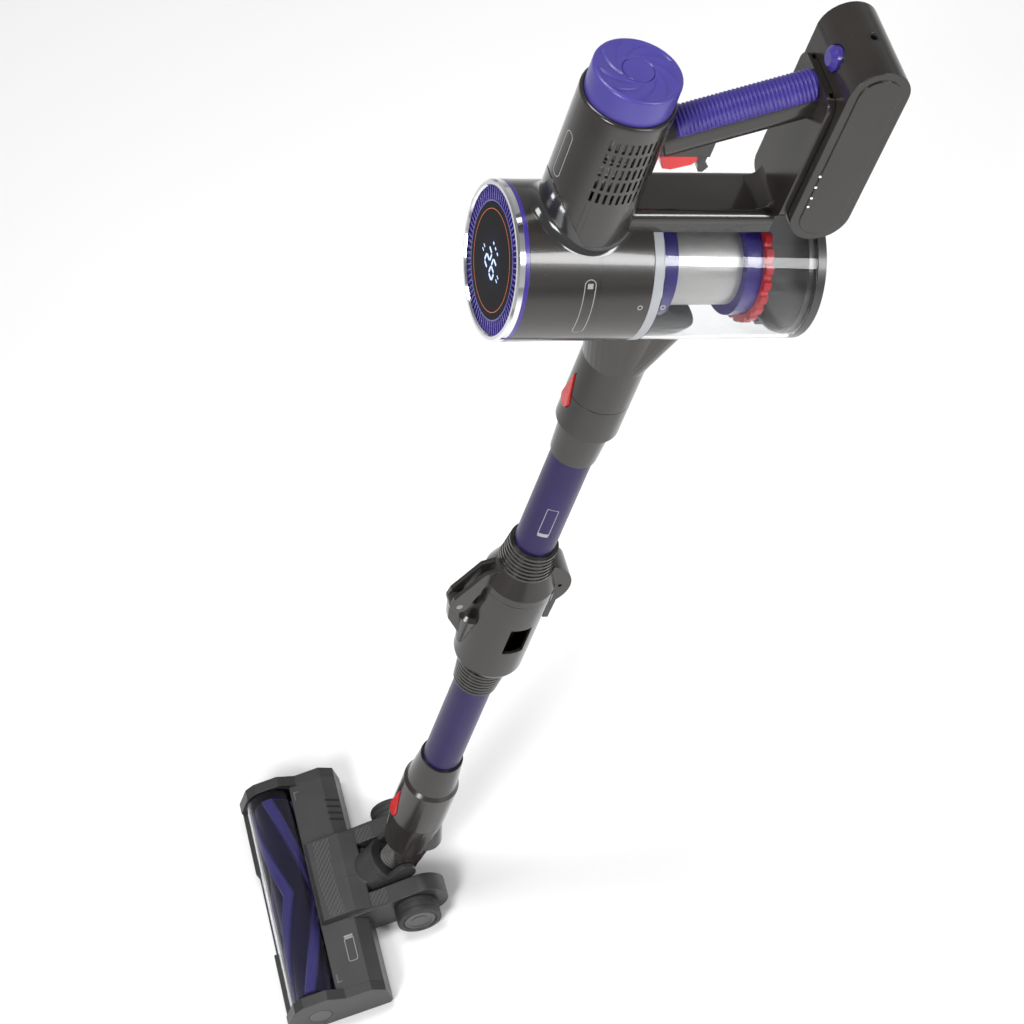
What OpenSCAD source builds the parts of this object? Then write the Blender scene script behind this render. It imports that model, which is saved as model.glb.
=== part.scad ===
// Cordless stick vacuum: hand unit, folding wand and powered floor head.
// Origin at the middle of the hand grip, +X forward, +Y to the left, +Z up.
// The hand unit and wand are drawn upright, wand axis on Z, then leaned back.

/* [Pose] */
// Lean of the wand from upright, degrees
wand_lean = 30; // [26:1:34]

/* [Hand unit] */
// Diameter of the barrel
barrel_d = 120; // [110:1:140]
// Wand axis to the front face of the barrel
front_reach = 133.5; // [128:0.5:160]
// Wand axis to the front edge of the turning lock ring
housing_start = 27; // [24:0.5:32]
// Wall of the moulded shells
shell_wall = 2.6; // [2:0.1:3.2]
// Width of the chrome bezel's face
bezel_width = 5; // [4:0.5:7]
// Diameter of the display glass
glass_d = 86.6; // [76:0.2:92]

/* [Motor tower] */
// Diameter of the motor tower
tower_d = 72; // [66:1:80]
// Wand axis to the motor tower's axis
tower_reach = 75; // [72:0.5:80]
// Top of the tower above the barrel axis
tower_top = 168; // [160:1:190]
// Height of the filter cap above the tower
cap_rise = 25; // [18:1:32]
// Rows of air slots round the tower
slot_rows = 5; // [3:1:6]
// Air slots in one row
slot_columns = 9; // [5:1:9]

/* [Handle] */
// Width of the grip
grip_w = 28; // [26:1:38]
// Depth of the grip, top to underside
grip_h = 34; // [32:1:44]
// Climb of the grip towards the battery, degrees
grip_slope = 22.5; // [20:0.5:25]
// Grip centre behind the wand axis
grip_back = 18; // [12:0.5:24]
// Grip centre above the barrel axis
grip_rise = 154; // [150:0.5:160]
// Length of the soft grip
grip_l = 104; // [70:1:104]

/* [Battery] */
// Length of the battery pack
pack_l = 167; // [140:1:180]
// Thickness of the battery pack
pack_t = 47; // [44:0.5:56]
// Width of the battery pack
pack_w = 76; // [70:1:90]
// Wand axis to the front of the battery pack
pack_reach = 70; // [68:0.5:76]
// Foot of the battery pack above the barrel's skin
pack_lift = 2; // [1:0.5:8]
// Diameter of the charging jack's hole
jack_d = 5.6; // [5.5:0.1:6]
// Depth of the charging jack
jack_depth = 9.5; // [8:0.5:12]

/* [Dust bin] */
// Wand axis to the outer face of the bin lid
bin_reach = 113; // [108:1:140]
// Wall of the clear bin
bin_wall = 2.4; // [2:0.1:3]
// Thickness of the bin lid
lid_t = 7; // [5:0.5:10]
// Diameter of the mesh filter
mesh_d = 68; // [56:1:72]
// Length of the mesh filter
mesh_l = 56; // [46:1:60]

/* [Wand] */
// Outer diameter of the wand tubes
tube_d = 36; // [32:0.5:40]
// Wall of the wand tubes
tube_wall = 1.5; // [1.2:0.1:2]
// Barrel axis to the seam under the inlet neck
neck_l = 150; // [140:1:180]
// Length of the upper coupling
socket_l = 76; // [76:1:92]
// Length of upper tube that shows
upper_show = 121; // [80:1:400]
// Length of lower tube that shows
lower_show = 127; // [70:1:400]
// Length of the lower coupling
coupling_l = 97; // [96:1:120]
// Diameter of the neck and couplings
coupling_d = 53.4; // [50:0.2:60]
// Depth that a spigot reaches into its socket
spigot_l = 36; // [28:1:40]

/* [Elbow] */
// Diameter of the elbow's body
elbow_d = 63.4; // [60:0.2:70]
// Wand axis to the fold pin
fold_reach = 48.5; // [46:0.5:52]
// Diameter of the fold pin
fold_pin_d = 6; // [5:0.5:7]
// Radius of the round shoulder that clears the yoke as it folds
fold_shoulder = 79.6; // [72:0.1:79.6]

/* [Floor head] */
// Width of the floor head
head_w = 254; // [220:1:320]
// Pivot to the rear edge of the floor head
head_back = 50; // [48:0.5:56]
// Pivot to the brush axis
brush_reach = 120; // [112:1:124]
// Height of the pitch pivot above the floor
pivot_h = 51; // [50:0.5:54]
// Diameter over the bristles
brush_d = 45; // [40:0.5:46]
// Height of the brush axis above the floor
brush_h = 24; // [23.5:0.1:26]
// Diameter of the rear wheels
wheel_d = 44; // [36:0.5:46]
// Width of the rear wheels
wheel_w = 17; // [12:0.5:20]
// Tilt of the swivel axis, degrees
swivel_tilt = 35; // [32:1:38]
// Bore of the swivel socket
swivel_d = 38; // [36:0.5:40]

/* [Fits] */
// Radial clearance of a pin or spigot that turns or slides
running_gap = 0.05; // [0.02:0.01:0.1]
// Space between parts that move past each other
free_gap = 0.5; // [0.35:0.05:0.8]

/* [Hidden] */
$fn = 96;
eps = 0.01;
barrel_r = barrel_d / 2;
bore_r = barrel_r - shell_wall;
tower_r = tower_d / 2;
tower_bore_r = tower_r - shell_wall;
glass_r = glass_d / 2;
band_w = 6;
housing_front = front_reach - band_w - 3;
bezel_back = front_reach - 5.5;
glass_front = front_reach - 1.4;
ring_w = 8;
bin_front = housing_start - ring_w - 0.4;
lid_back = -bin_reach;
bin_back = lid_back + lid_t;
bin_r = barrel_r - bin_wall;
lid_hinge_z = -barrel_r - 2.2;
lid_pin_r = 1.5;
catch_y = -barrel_r - 0.6;
catch_pin_r = 1.5;
filter_front = bin_front - 2.6;
mesh_front = filter_front - 16;
mesh_back = mesh_front - mesh_l;
flange_back = mesh_back - 16;
// The filter and its scraper stay clear of the bin when the barrel is narrow
mesh_r = min(mesh_d / 2, bin_r - 17);
collar_r = mesh_r + 8;
pack_r = pack_t / 2;
pack_foot = barrel_r + pack_lift;
pack_top = pack_foot + pack_l;
pack_mid = -pack_reach - pack_r;
pack_wall = 2.2;
rail_w = 48;
rail_top = barrel_r + 13;
rail_round = 7;
receiver_front = -pack_reach + 6.5;
receiver_w = 60;
receiver_top = pack_top - 38;
track_w = 4;
track_d = 3;
track_side = 20;
release_d = 19;
release_rise = pack_top - 21;
tube_r = tube_d / 2;
neck_r = coupling_d / 2;
spigot_r = tube_r + 3;
duct_r = tube_r - tube_wall;
socket_end = neck_l + socket_l;
elbow_top = socket_end + upper_show;
elbow_seam = elbow_top + 56;
elbow_base = elbow_seam + 148;
rim_top = elbow_base + lower_show;
lower_seam = rim_top + coupling_l;
pivot_drop = lower_seam + 75;
wand_button_z = -neck_l + 4;
neck_button_z = -lower_seam + 22;
tube_grip = 18;
coupling_grip = 50;
elbow_bore = elbow_d / 2 - 3;
elbow_r = elbow_d / 2;
fold_drop = elbow_seam + 26;
fold_pin_r = fold_pin_d / 2;
knuckle_w = 7;
cheek_t = 4;
cheek_gap = 0.5;
latch_rise = elbow_top + 50;
latch_back = 33.5;
floor_z = -pivot_h;
chamber_r = brush_d / 2 + 2;
chamber_wall = 2.4;
window_t = 2;
end_t = 11;
inner_w = head_w - 2 * end_t;
deck_h = 42;
cover_h = 50;
cover_w = 88;
deck_front = brush_reach - 24;
nose = brush_reach + 33;
arm_in = 28;
arm_out = 47;
axle_x = 3;
arm_tail = 11;
axle_h = wheel_d / 2 + 0.3;
axle_r = 4;
swivel_r = swivel_d / 2;
fork_face = 15;
fork_flange = 5.5;
fork_in = 19.5;
fork_out = 25;
pitch_pin_r = 4;

dark = [0.17, 0.16, 0.155];
darker = [0.1, 0.1, 0.1];
violet = [0.29, 0.25, 0.62];
tube_violet = [0.2, 0.16, 0.36];
signal_red = [0.72, 0.07, 0.08];

// ---------- placing ----------

// Puts what is drawn about the upright wand into the leaning pose.
module lean() {
    rotate([0, -wand_lean, 0]) translate([grip_back, 0, -grip_rise]) children();
}

// Puts what is drawn level about the pitch pivot at the wand's foot.
module at_pivot() {
    lean() translate([0, 0, -pivot_drop]) rotate([0, wand_lean, 0]) children();
}

// Turns +Z into the swivel axis, forward and down from the pivot.
module on_swivel() {
    rotate([0, 90 + swivel_tilt, 0]) children();
}

// Places children at the grip's centre with X along the handle.
module on_grip() {
    translate([-grip_back, 0, grip_rise]) rotate([0, grip_slope, 0]) children();
}

// ---------- plain shapes ----------

module rod_x(x0, x1, r) {
    translate([x0, 0, 0]) rotate([0, 90, 0]) cylinder(h = x1 - x0, r = r);
}

module rod_y(y0, y1, r) {
    translate([0, y0, 0]) rotate([-90, 0, 0]) cylinder(h = y1 - y0, r = r);
}

module rod_z(z0, z1, r) {
    translate([0, 0, z0]) cylinder(h = z1 - z0, r = r);
}

module ring_x(x0, x1, outer, inner) {
    difference() {
        rod_x(x0, x1, outer);
        rod_x(x0 - 1, x1 + 1, inner);
    }
}

module ring_z(z0, z1, outer, inner) {
    difference() {
        rod_z(z0, z1, outer);
        rod_z(z0 - 1, z1 + 1, inner);
    }
}

// Box from low corner to high corner.
module span_box(low, high) {
    translate(low) cube(high - low);
}

// Upright plate in the X-Z plane, centred on Y.
module side_plate(width) {
    rotate([90, 0, 0]) translate([0, 0, -width / 2]) linear_extrude(width) children();
}

// Rounded slab outline with half-round ends.
module stadium(length, r) {
    translate([0, r]) circle(r);
    translate([0, length - r]) circle(r);
    translate([-r, r]) square([2 * r, length - 2 * r]);
}

// Cross-section of the handle: flat sides, round top and underside.
module grip_section(w, h) {
    translate([h / 2 - w / 2, 0]) circle(w / 2);
    translate([w / 2 - h / 2, 0]) circle(w / 2);
    translate([w / 2 - h / 2, -w / 2]) square([h - w, w]);
}

// Bar along the handle from x0 to x1, measured from the grip's centre.
module grip_bar(x0, x1, w, h) {
    on_grip() translate([x0, 0, 0]) rotate([0, 90, 0]) linear_extrude(x1 - x0) grip_section(w, h);
}

// ---------- hand unit ----------

module air_slots() {
    slot_step = 64 / (slot_columns - 1);
    row_step = 62 / slot_rows;
    for (row = [0 : slot_rows - 1]) {
        for (column = [0 : slot_columns - 1]) {
            for (side = [-1, 1]) {
                rotate([0, 0, side * (62 + column * slot_step)])
                    translate([tower_bore_r - 2, -1.1, tower_top - 72 + row * row_step])
                        cube([8, 2.2, row_step - 3]);
            }
        }
    }
}

module main_housing() {
    color(dark) lean() difference() {
        union() {
            rod_x(housing_start, housing_front, barrel_r);
            translate([tower_reach, 0, 0]) rod_z(0, tower_top, tower_r);
        }
        rod_x(housing_start - 1, housing_front + 1, bore_r);
        translate([tower_reach, 0, 0]) rod_z(0, tower_top + 1, tower_bore_r);
        translate([tower_reach, 0, 0]) air_slots();
    }
}

module front_band() {
    color(violet) lean() ring_x(housing_front, bezel_back, barrel_r, bore_r);
}

module chrome_bezel() {
    color("silver") lean() translate([bezel_back, 0, 0]) rotate([0, 90, 0])
        rotate_extrude() polygon([[barrel_r - bezel_width, 0], [barrel_r, 0],
                                  [barrel_r, front_reach - bezel_back - 1.5],
                                  [barrel_r - 1.5, front_reach - bezel_back],
                                  [barrel_r - bezel_width + 1, front_reach - bezel_back],
                                  [barrel_r - bezel_width, front_reach - bezel_back - 1.5]]);
}

module fin_ring() {
    fin_count = 72;
    inner = glass_r + 0.4;
    outer = barrel_r - bezel_width - 0.1;
    color(violet) lean() {
        ring_x(glass_front - 6, glass_front - 3, outer, inner - 6);
        ring_x(glass_front - 3, glass_front, inner + 1.2, inner);
        for (i = [0 : fin_count - 1]) {
            rotate([i * 360 / fin_count, 0, 0])
                span_box([glass_front - 3, -0.7, inner + 1.1], [glass_front - 0.4, 0.7, outer]);
        }
    }
}

module display_glass() {
    color("black") lean() rod_x(glass_front - 3, glass_front, glass_r);
}

module display_board() {
    color("green") lean() rod_x(glass_front - 9, glass_front - 7.4, glass_r - 2);
}

module top_rail() {
    color(dark) lean() difference() {
        translate([-pack_reach + 4, 0, 0]) rotate([90, 0, 90])
            linear_extrude(tower_reach + pack_reach) {
                translate([-rail_w / 2, 40]) square([rail_w, rail_top - rail_round - 40]);
                translate([-rail_w / 2 + rail_round, rail_top - rail_round - eps])
                    square([rail_w - 2 * rail_round, rail_round + eps]);
                for (side = [-1, 1]) {
                    translate([side * (rail_w / 2 - rail_round), rail_top - rail_round])
                        circle(rail_round);
                }
            }
        rod_x(housing_start, front_reach, barrel_r);
        rod_x(-bin_reach, housing_start + eps, barrel_r + free_gap);
        translate([tower_reach, 0, 0]) rod_z(0, tower_top, tower_r);
    }
}

module trigger_pocket() {
    span_box([4, -7.5, 96], [37, 7.5, 127]);
}

module handle_body() {
    guard_x = -1;
    color(dark) lean() difference() {
        union() {
            grip_bar(-60, 62, grip_w, grip_h);
            span_box([guard_x, -10, grip_rise - 35], [40, 10, grip_rise - 20]);
            translate([0, 0, grip_rise - 44]) side_plate(14)
                polygon([[guard_x, 10], [guard_x, 1], [guard_x - 4, -4], [guard_x - 1, -9],
                         [guard_x + 2.5, -9], [guard_x + 4.7, -3], [guard_x + 4.7, 10]]);
        }
        translate([tower_reach, 0, 0]) rod_z(0, tower_top + 20, tower_r);
        span_box([-pack_reach - 30, -40, 0], [receiver_front, 40, 300]);
        trigger_pocket();
    }
}

module handle_grip() {
    skin = 2.2;
    color(violet) lean() difference() {
        grip_bar(-grip_l / 2 - 3, grip_l / 2, grip_w + 2 * skin, grip_h + 2 * skin);
        grip_bar(-grip_l, grip_l, grip_w, grip_h);
        on_grip() span_box([-grip_l, -grip_w, -grip_h], [grip_l, grip_w, grip_h / 2 - 10]);
        translate([tower_reach, 0, 0]) rod_z(0, tower_top + 40, tower_r + 0.1);
        span_box([-pack_reach - 30, -40, 0], [receiver_front + 0.1, 40, 300]);
    }
}

module battery_receiver() {
    corner = 10;
    fillet = 12;
    foot = rail_top;
    color(dark) lean() difference() {
        union() {
            translate([-pack_reach + free_gap, 0, 0]) rotate([90, 0, 90])
                linear_extrude(receiver_front + pack_reach - free_gap) {
                    translate([-receiver_w / 2, foot + corner])
                        square([receiver_w, receiver_top - foot - 2 * corner]);
                    translate([-receiver_w / 2 + corner, foot])
                        square([receiver_w - 2 * corner, receiver_top - foot]);
                    for (side = [-1, 1], z = [foot + corner, receiver_top - corner]) {
                        translate([side * (receiver_w / 2 - corner), z]) circle(corner);
                    }
                }
            side_plate(rail_w - 2 * rail_round) difference() {
                translate([receiver_front - 1, foot - 1]) square([fillet + 1, fillet + 1]);
                translate([receiver_front + fillet, foot + fillet + 0.5]) circle(fillet);
            }
        }
        for (side = [-1, 1]) {
            span_box([-pack_reach - 1, side * track_side - track_w / 2 - free_gap, pack_foot + 26],
                     [-pack_reach + track_d + free_gap + 0.3,
                      side * track_side + track_w / 2 + free_gap, receiver_top + 1]);
        }
        rail_space();
    }
}

// Space that the rail fills under the receiver.
module rail_space() {
    span_box([-pack_reach - 1, -rail_w, 0], [tower_reach, rail_w, rail_top]);
}

module inlet_neck() {
    bore_top = barrel_r + free_gap;
    color(dark) lean() difference() {
        union() {
            rod_z(-neck_l, -barrel_r + 14, neck_r);
            hull() {
                translate([0, 0, -neck_l + 42]) cylinder(h = 1, r = neck_r, $fn = 32);
                translate([-28, 0, -barrel_r + 8]) cylinder(h = 1, r = neck_r - 2, $fn = 32);
                translate([14, 0, -barrel_r + 8]) cylinder(h = 1, r = neck_r - 2, $fn = 32);
            }
            translate([0, 0, -barrel_r - 2]) span_box([0, -22, 0], [60, 22, 14]);
        }
        rod_x(-bin_reach, housing_start - eps, bore_top);
        rod_x(housing_start - 0.1, front_reach, barrel_r);
        rod_z(-neck_l - 1, -neck_l + spigot_l + 1, spigot_r + running_gap);
        rod_z(-neck_l + spigot_l, 0, duct_r);
        button_cut(wand_button_z);
    }
}

// Teardrop button's outline, its seam at z = 0, seen from the front.
module teardrop(grow) {
    translate([0, -14]) circle(7 + grow);
    polygon([[-6.6 - grow, -11.5], [0, 16 + grow], [6.6 + grow, -11.5]]);
}

// Through-pocket for a release button at the given height.
module button_cut(z) {
    translate([neck_r - 7.2, 0, z]) rotate([90, 0, 90]) linear_extrude(20) teardrop(free_gap);
}

// Release button that sits in a button_cut.
module release_button(z) {
    translate([neck_r - 4.4, 0, z]) rotate([90, 0, 90]) linear_extrude(5.6) teardrop(0);
}

module motor_can() {
    color("gray") lean() translate([tower_reach, 0, 0]) difference() {
        rod_z(72, 126, 24);
        rod_z(71, 90, 2.5 + running_gap);
    }
}

module motor_mount() {
    color(darker) lean() translate([tower_reach, 0, 0]) difference() {
        rod_z(84, 94, tower_bore_r);
        rod_z(83, 95, 24);
        for (i = [0 : 5]) rotate([0, 0, i * 60]) translate([28.8, 0, 83]) cylinder(h = 12, r = 3);
    }
}

module housing_screws() {
    color("silver") lean() for (side = [-1, 1], x = [46, 104]) {
        translate([x, side * (bore_r - 8.5), 0]) {
            rod_z(-12, 6, 1.5);
            rod_z(6, 8, 2.8);
        }
    }
}

module trigger() {
    color(signal_red) lean() side_plate(14)
        polygon([[34.5, 125], [35.5, 114], [31, 104], [24, 103], [9, 108], [6, 112], [7, 118]]);
}

module impeller() {
    color("white") lean() translate([tower_reach, 0, 0]) {
        rod_z(50, 88, 2.5);
        rod_z(50, 53, 25);
        for (i = [0 : 8]) {
            rotate([0, 0, i * 40]) span_box([2, -0.7, 52.9], [24, 0.7, 62]);
        }
    }
}

module filter_cap() {
    cap_r = tower_bore_r - 0.3;
    color(violet) lean() translate([tower_reach, 0, 0]) difference() {
        union() {
            rod_z(tower_top - 14, tower_top + cap_rise - 2, cap_r);
            rod_z(tower_top + cap_rise - 2 - eps, tower_top + cap_rise, cap_r - 1.4);
        }
        rod_z(tower_top - 15, tower_top + cap_rise - 3, cap_r - 2.4);
    }
}

module exhaust_filter() {
    color("white") lean() translate([tower_reach, 0, 0])
        ring_z(tower_top - 34, tower_top + cap_rise - 3, tower_bore_r - 3, 15);
}

// ---------- dust bin ----------

module lock_ring() {
    color("dimgray") lean() {
        ring_x(bin_front + 0.4, housing_start - 0.4, barrel_r, bin_r);
    }
}

module bin_shell() {
    color([0.85, 0.88, 0.9, 0.35]) lean() difference() {
        union() {
            rod_x(bin_back + free_gap, bin_front, barrel_r);
            translate([bin_back + 4, 0, lid_hinge_z]) rod_y(-8, 8, 3.4);
            for (z = [-9, 6.6]) {
                span_box([bin_back + 9, catch_y - 4.4, z], [bin_back + 15, -bin_r, z + 2.4]);
            }
        }
        rod_x(bin_back - 1, bin_front + 1, bin_r);
        rod_z(-barrel_r - 10, 0, duct_r);
        translate([bin_back + 4, 0, lid_hinge_z]) rod_y(-9, 9, lid_pin_r + running_gap);
        translate([bin_back + 12, catch_y - 2.2, 0]) rod_z(-10, 10, catch_pin_r + running_gap);
    }
}

module bin_lid() {
    ear_low = lid_hinge_z - 2.6;
    color(darker) lean() {
        rod_x(lid_back, bin_back, barrel_r);
        ring_x(bin_back - eps, bin_back + 6, bin_r - 1.6, bin_r - 4);
        for (side = [-1, 1]) {
            translate([0, side * 10.5, 0]) side_plate(3.6) {
                translate([bin_back + 4, lid_hinge_z]) circle(2.6);
                polygon([[bin_back - 6, ear_low], [bin_back + 4, ear_low],
                         [bin_back + 4, -barrel_r - 0.4], [bin_back - 0.1, -barrel_r - 0.4],
                         [bin_back - 0.1, -barrel_r + 3], [bin_back - 6, -barrel_r + 3]]);
            }
        }
        translate([bin_back + 4, 0, lid_hinge_z]) rod_y(-12, 12, lid_pin_r);
    }
}

module lid_catch() {
    color(signal_red) lean() {
        translate([bin_back + 12, catch_y - 2.2, 0]) rod_z(-9, 9, catch_pin_r);
        span_box([lid_back - 0.5, catch_y - 3.2, -6], [bin_back + 24, catch_y - 1.2, 6]);
        span_box([lid_back - 0.5, catch_y - 1.3, -6], [bin_back - 1, catch_y + 0.2, 6]);
    }
}

module filter_frame() {
    color(violet) lean() {
        ring_x(mesh_front, filter_front, collar_r, mesh_r - 4);
        ring_x(flange_back, mesh_back, collar_r, mesh_r - 2);
        for (i = [0 : 3]) {
            rotate([i * 90 + 45, 0, 0])
                span_box([mesh_back - 1, -2, mesh_r - 4], [mesh_front + 1, 2, mesh_r - 1.6]);
        }
    }
}

module filter_mesh() {
    color("silver") lean() ring_x(mesh_back, mesh_front, mesh_r, mesh_r - 1.5);
}

module scraper_ring() {
    color(signal_red) lean() difference() {
        rod_x(flange_back - 3, flange_back + 3, collar_r + 6);
        rod_x(flange_back - 4, flange_back + 4, collar_r);
        for (i = [0 : 23]) {
            rotate([i * 15, 0, 0]) translate([flange_back - 4, 0, collar_r + 6])
                rotate([0, 90, 0]) cylinder(h = 8, r = 3);
        }
    }
}

// ---------- battery ----------

module pack_outline(inset) {
    translate([pack_mid, pack_foot + inset]) stadium(pack_l - 2 * inset, pack_r - inset);
}

module battery_case() {
    color(dark) lean() difference() {
        union() {
            side_plate(pack_w - 2) pack_outline(0);
            side_plate(pack_w) pack_outline(7);
            for (side = [-1, 1]) {
                span_box([-pack_reach - 2, side * track_side - track_w / 2, pack_foot + 28],
                         [-pack_reach + track_d, side * track_side + track_w / 2, receiver_top - 4]);
            }
        }
        side_plate(pack_w - 2 - 2 * pack_wall) pack_outline(pack_wall);
        translate([pack_mid, 0, 0]) rod_z(pack_top - jack_depth, pack_top + 1, jack_d / 2 + 1.6);
        translate([0, 0, release_rise]) rod_x(-pack_reach - 6, -pack_reach + 2, release_d / 2 + free_gap);
    }
}

module battery_cells() {
    cell_r = 8.4;
    cell_l = 65;
    color("teal") lean() for (level = [0, 1], column = [-1, 0, 1], row = [-1, 1]) {
        translate([pack_mid + row * 9.6, column * 20, pack_foot + 14 + level * (cell_l + 3)])
            cylinder(h = cell_l, r = cell_r);
    }
}

module battery_board() {
    color("green") lean()
        span_box([pack_mid - 15, -pack_w / 2 + 6, pack_top - 17],
                 [pack_mid + 10, pack_w / 2 - 6, pack_top - 15.4]);
}

module charging_jack() {
    color("black") lean() translate([pack_mid, 0, 0]) difference() {
        rod_z(pack_top - jack_depth - 1.5, pack_top - 0.2, jack_d / 2 + 1.6);
        rod_z(pack_top - jack_depth - 0.2, pack_top + 1, jack_d / 2);
    }
}

module battery_release() {
    color(violet) lean() translate([0, 0, release_rise]) {
        rod_x(-pack_reach - 3.4, -pack_reach + 1.6, release_d / 2);
        translate([-pack_reach + 1.6 - eps, 0, 0]) rotate([0, 90, 0])
            cylinder(h = 3.2, r1 = release_d / 2, r2 = release_d / 2 - 4);
    }
}

// ---------- wand ----------

module wand_socket() {
    color(dark) lean() difference() {
        union() {
            rod_z(-neck_l - 36, -neck_l - free_gap, neck_r);
            rod_z(-neck_l - 0.6, -neck_l + spigot_l, spigot_r);
            translate([0, 0, -neck_l - 40]) cylinder(h = 4 + eps, r1 = neck_r - 4.5, r2 = neck_r);
            translate([0, 0, -socket_end])
                cylinder(h = socket_l - 40 + eps, r1 = tube_r + 2, r2 = tube_r + 4);
        }
        rod_z(-socket_end - 1, -socket_end + tube_grip, tube_r);
        rod_z(-socket_end - 2, -neck_l + spigot_l + 1, duct_r);
        button_cut(wand_button_z);
    }
}

module wand_release() {
    color(signal_red) lean() release_button(wand_button_z);
}

module coupling_release() {
    color(signal_red) lean() release_button(neck_button_z);
}

module upper_tube() {
    color(tube_violet) lean() ring_z(-elbow_top - tube_grip, -socket_end + tube_grip, tube_r, duct_r);
}

module lower_tube() {
    color(tube_violet) lean() ring_z(-rim_top - coupling_grip, -elbow_base + tube_grip, tube_r, duct_r);
}

// Outline of a ribbed collar as [r, z] pairs from z0 up to z1, its radius going from r0 to r1.
function ribs_between(z0, z1, r0, r1, ribs) = [
    for (i = [0 : ribs - 1], step = [0 : 3])
        [r0 + (r1 - r0) * i / ribs - (step > 1 ? 1.2 : 0),
         z0 + (z1 - z0) * (i + [0, 0.6, 0.6, 1][step]) / ribs]
];

module fold_cheeks() {
    for (side = [-1, 1]) {
        translate([0, side * (knuckle_w + cheek_t + 2 * cheek_gap) / 2, 0]) side_plate(cheek_t)
            translate([fold_reach, -fold_drop]) {
                circle(8.5);
                polygon([[8.5, 0], [7, 10], [-12, 44], [-26, 50], [-26, 27.5], [-16, 27.5], [-8.5, 0]]);
            }
    }
}

// Hump on the yoke's rear that the latch hangs in.
module latch_hump() {
    difference() {
        side_plate(26) intersection() {
            translate([-15, -latch_rise - 1]) circle(28.5);
            translate([-50, -latch_rise - 28]) square([29, 60]);
        }
        rod_z(-elbow_seam - 40, -elbow_seam + 0.6, elbow_r + 2.4);
    }
}

module elbow_yoke() {
    color(dark) lean() difference() {
        union() {
            rotate_extrude() polygon(concat(
                [[duct_r, -elbow_seam + 0.3], [elbow_r, -elbow_seam + 0.3], [elbow_r, -elbow_seam + 8]],
                ribs_between(-elbow_top - 29, -elbow_top, tube_r + 6.4, tube_r + 3, 7),
                [[tube_r, -elbow_top], [tube_r, -elbow_top - tube_grip],
                 [duct_r, -elbow_top - tube_grip]]));
            fold_cheeks();
            latch_hump();
        }
        translate([0, 0, -elbow_seam - 1]) cylinder(h = 8, r = elbow_bore);
        rod_z(-elbow_seam, -elbow_top - 28, duct_r + 5);
        translate([fold_reach, 0, -fold_drop]) rod_y(-20, 20, fold_pin_r);
        translate([-latch_back, 0, -latch_rise]) rod_y(-14, 14, 2);
        span_box([-60, -6, -fold_drop - 30], [-elbow_r + 6, 6, -latch_rise + 12]);
    }
}

module elbow_pin() {
    half = knuckle_w / 2 + cheek_gap + cheek_t;
    color("silver") lean() translate([fold_reach, 0, -fold_drop]) rod_y(-half, half, fold_pin_r);
}

module elbow_latch() {
    color(dark) lean() difference() {
        union() {
            side_plate(10.6) translate([-latch_back - 1, -latch_rise]) {
                circle(7.5);
                polygon([[-7.5, 0], [-6, -57], [-1, -57], [0, -30], [2, -20], [2, -6], [7.5, 0]]);
            }
            translate([-latch_back, 0, -latch_rise]) rod_y(-9.9, 9.9, 2 - running_gap);
        }
        rod_z(-fold_drop - 40, -elbow_seam + 0.6, elbow_r + 1.3);
        rod_z(-elbow_seam, -elbow_top, elbow_r + free_gap - 3);
    }
}

module elbow_body() {
    color(dark) lean() difference() {
        union() {
            intersection() {
                rod_z(-elbow_seam - 102, -elbow_seam, elbow_r);
                union() {
                    translate([fold_reach, 0, -fold_drop]) rod_y(-elbow_r - 1, elbow_r + 1, fold_shoulder);
                    span_box([-elbow_r - 1, -elbow_r - 1, -elbow_seam - 103],
                             [elbow_r + 1, elbow_r + 1, -fold_drop]);
                }
            }
            rotate_extrude() polygon(concat(
                ribs_between(-elbow_base, -elbow_base + 34, tube_r + 2.6, tube_r + 6, 7),
                [[elbow_r - 1.5, -elbow_seam - 106], [elbow_r, -elbow_seam - 101],
                 [duct_r, -elbow_seam - 101], [duct_r, -elbow_base + tube_grip],
                 [tube_r, -elbow_base + tube_grip], [tube_r, -elbow_base]]));
            side_plate(knuckle_w) translate([fold_reach, -fold_drop]) {
                circle(8.5);
                polygon([[8.5, 0], [4, -22], [-8, -40], [-16, -50], [-28, -50], [-28, -6], [-8.5, 0]]);
            }
            translate([fold_reach - 18, 0, -fold_drop - 58]) cylinder(h = 38, r1 = 5, r2 = 13);
            translate([fold_reach - 18, 0, -fold_drop - 20 - eps]) cylinder(h = 4, r1 = 13, r2 = 10);
        }
        rod_z(-elbow_seam - 98, -elbow_seam + 1, elbow_bore);
        translate([0, 0, -elbow_seam - 118]) cylinder(h = 20 + eps, r1 = duct_r - 1, r2 = elbow_bore);
        translate([fold_reach, 0, -fold_drop]) rod_y(-20, 20, fold_pin_r + running_gap);
        for (side = [-1, 1]) {
            translate([0, side * elbow_r, -elbow_seam - 50])
                span_box([-15, -12, -17], [5, 12, 17]);
        }
    }
}

module elbow_hose() {
    ribs = 20;
    low = -elbow_seam - 108;
    high = -elbow_top - 26;
    pitch = (high - low) / ribs;
    color(darker) lean() for (i = [0 : ribs - 1]) {
        ring_z(low + i * pitch, low + (i + 0.62) * pitch, duct_r - 0.4, duct_r - 3);
        ring_z(low + (i + 0.6) * pitch, low + (i + 1.02) * pitch, duct_r - 1.6, duct_r - 3);
    }
}

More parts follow.
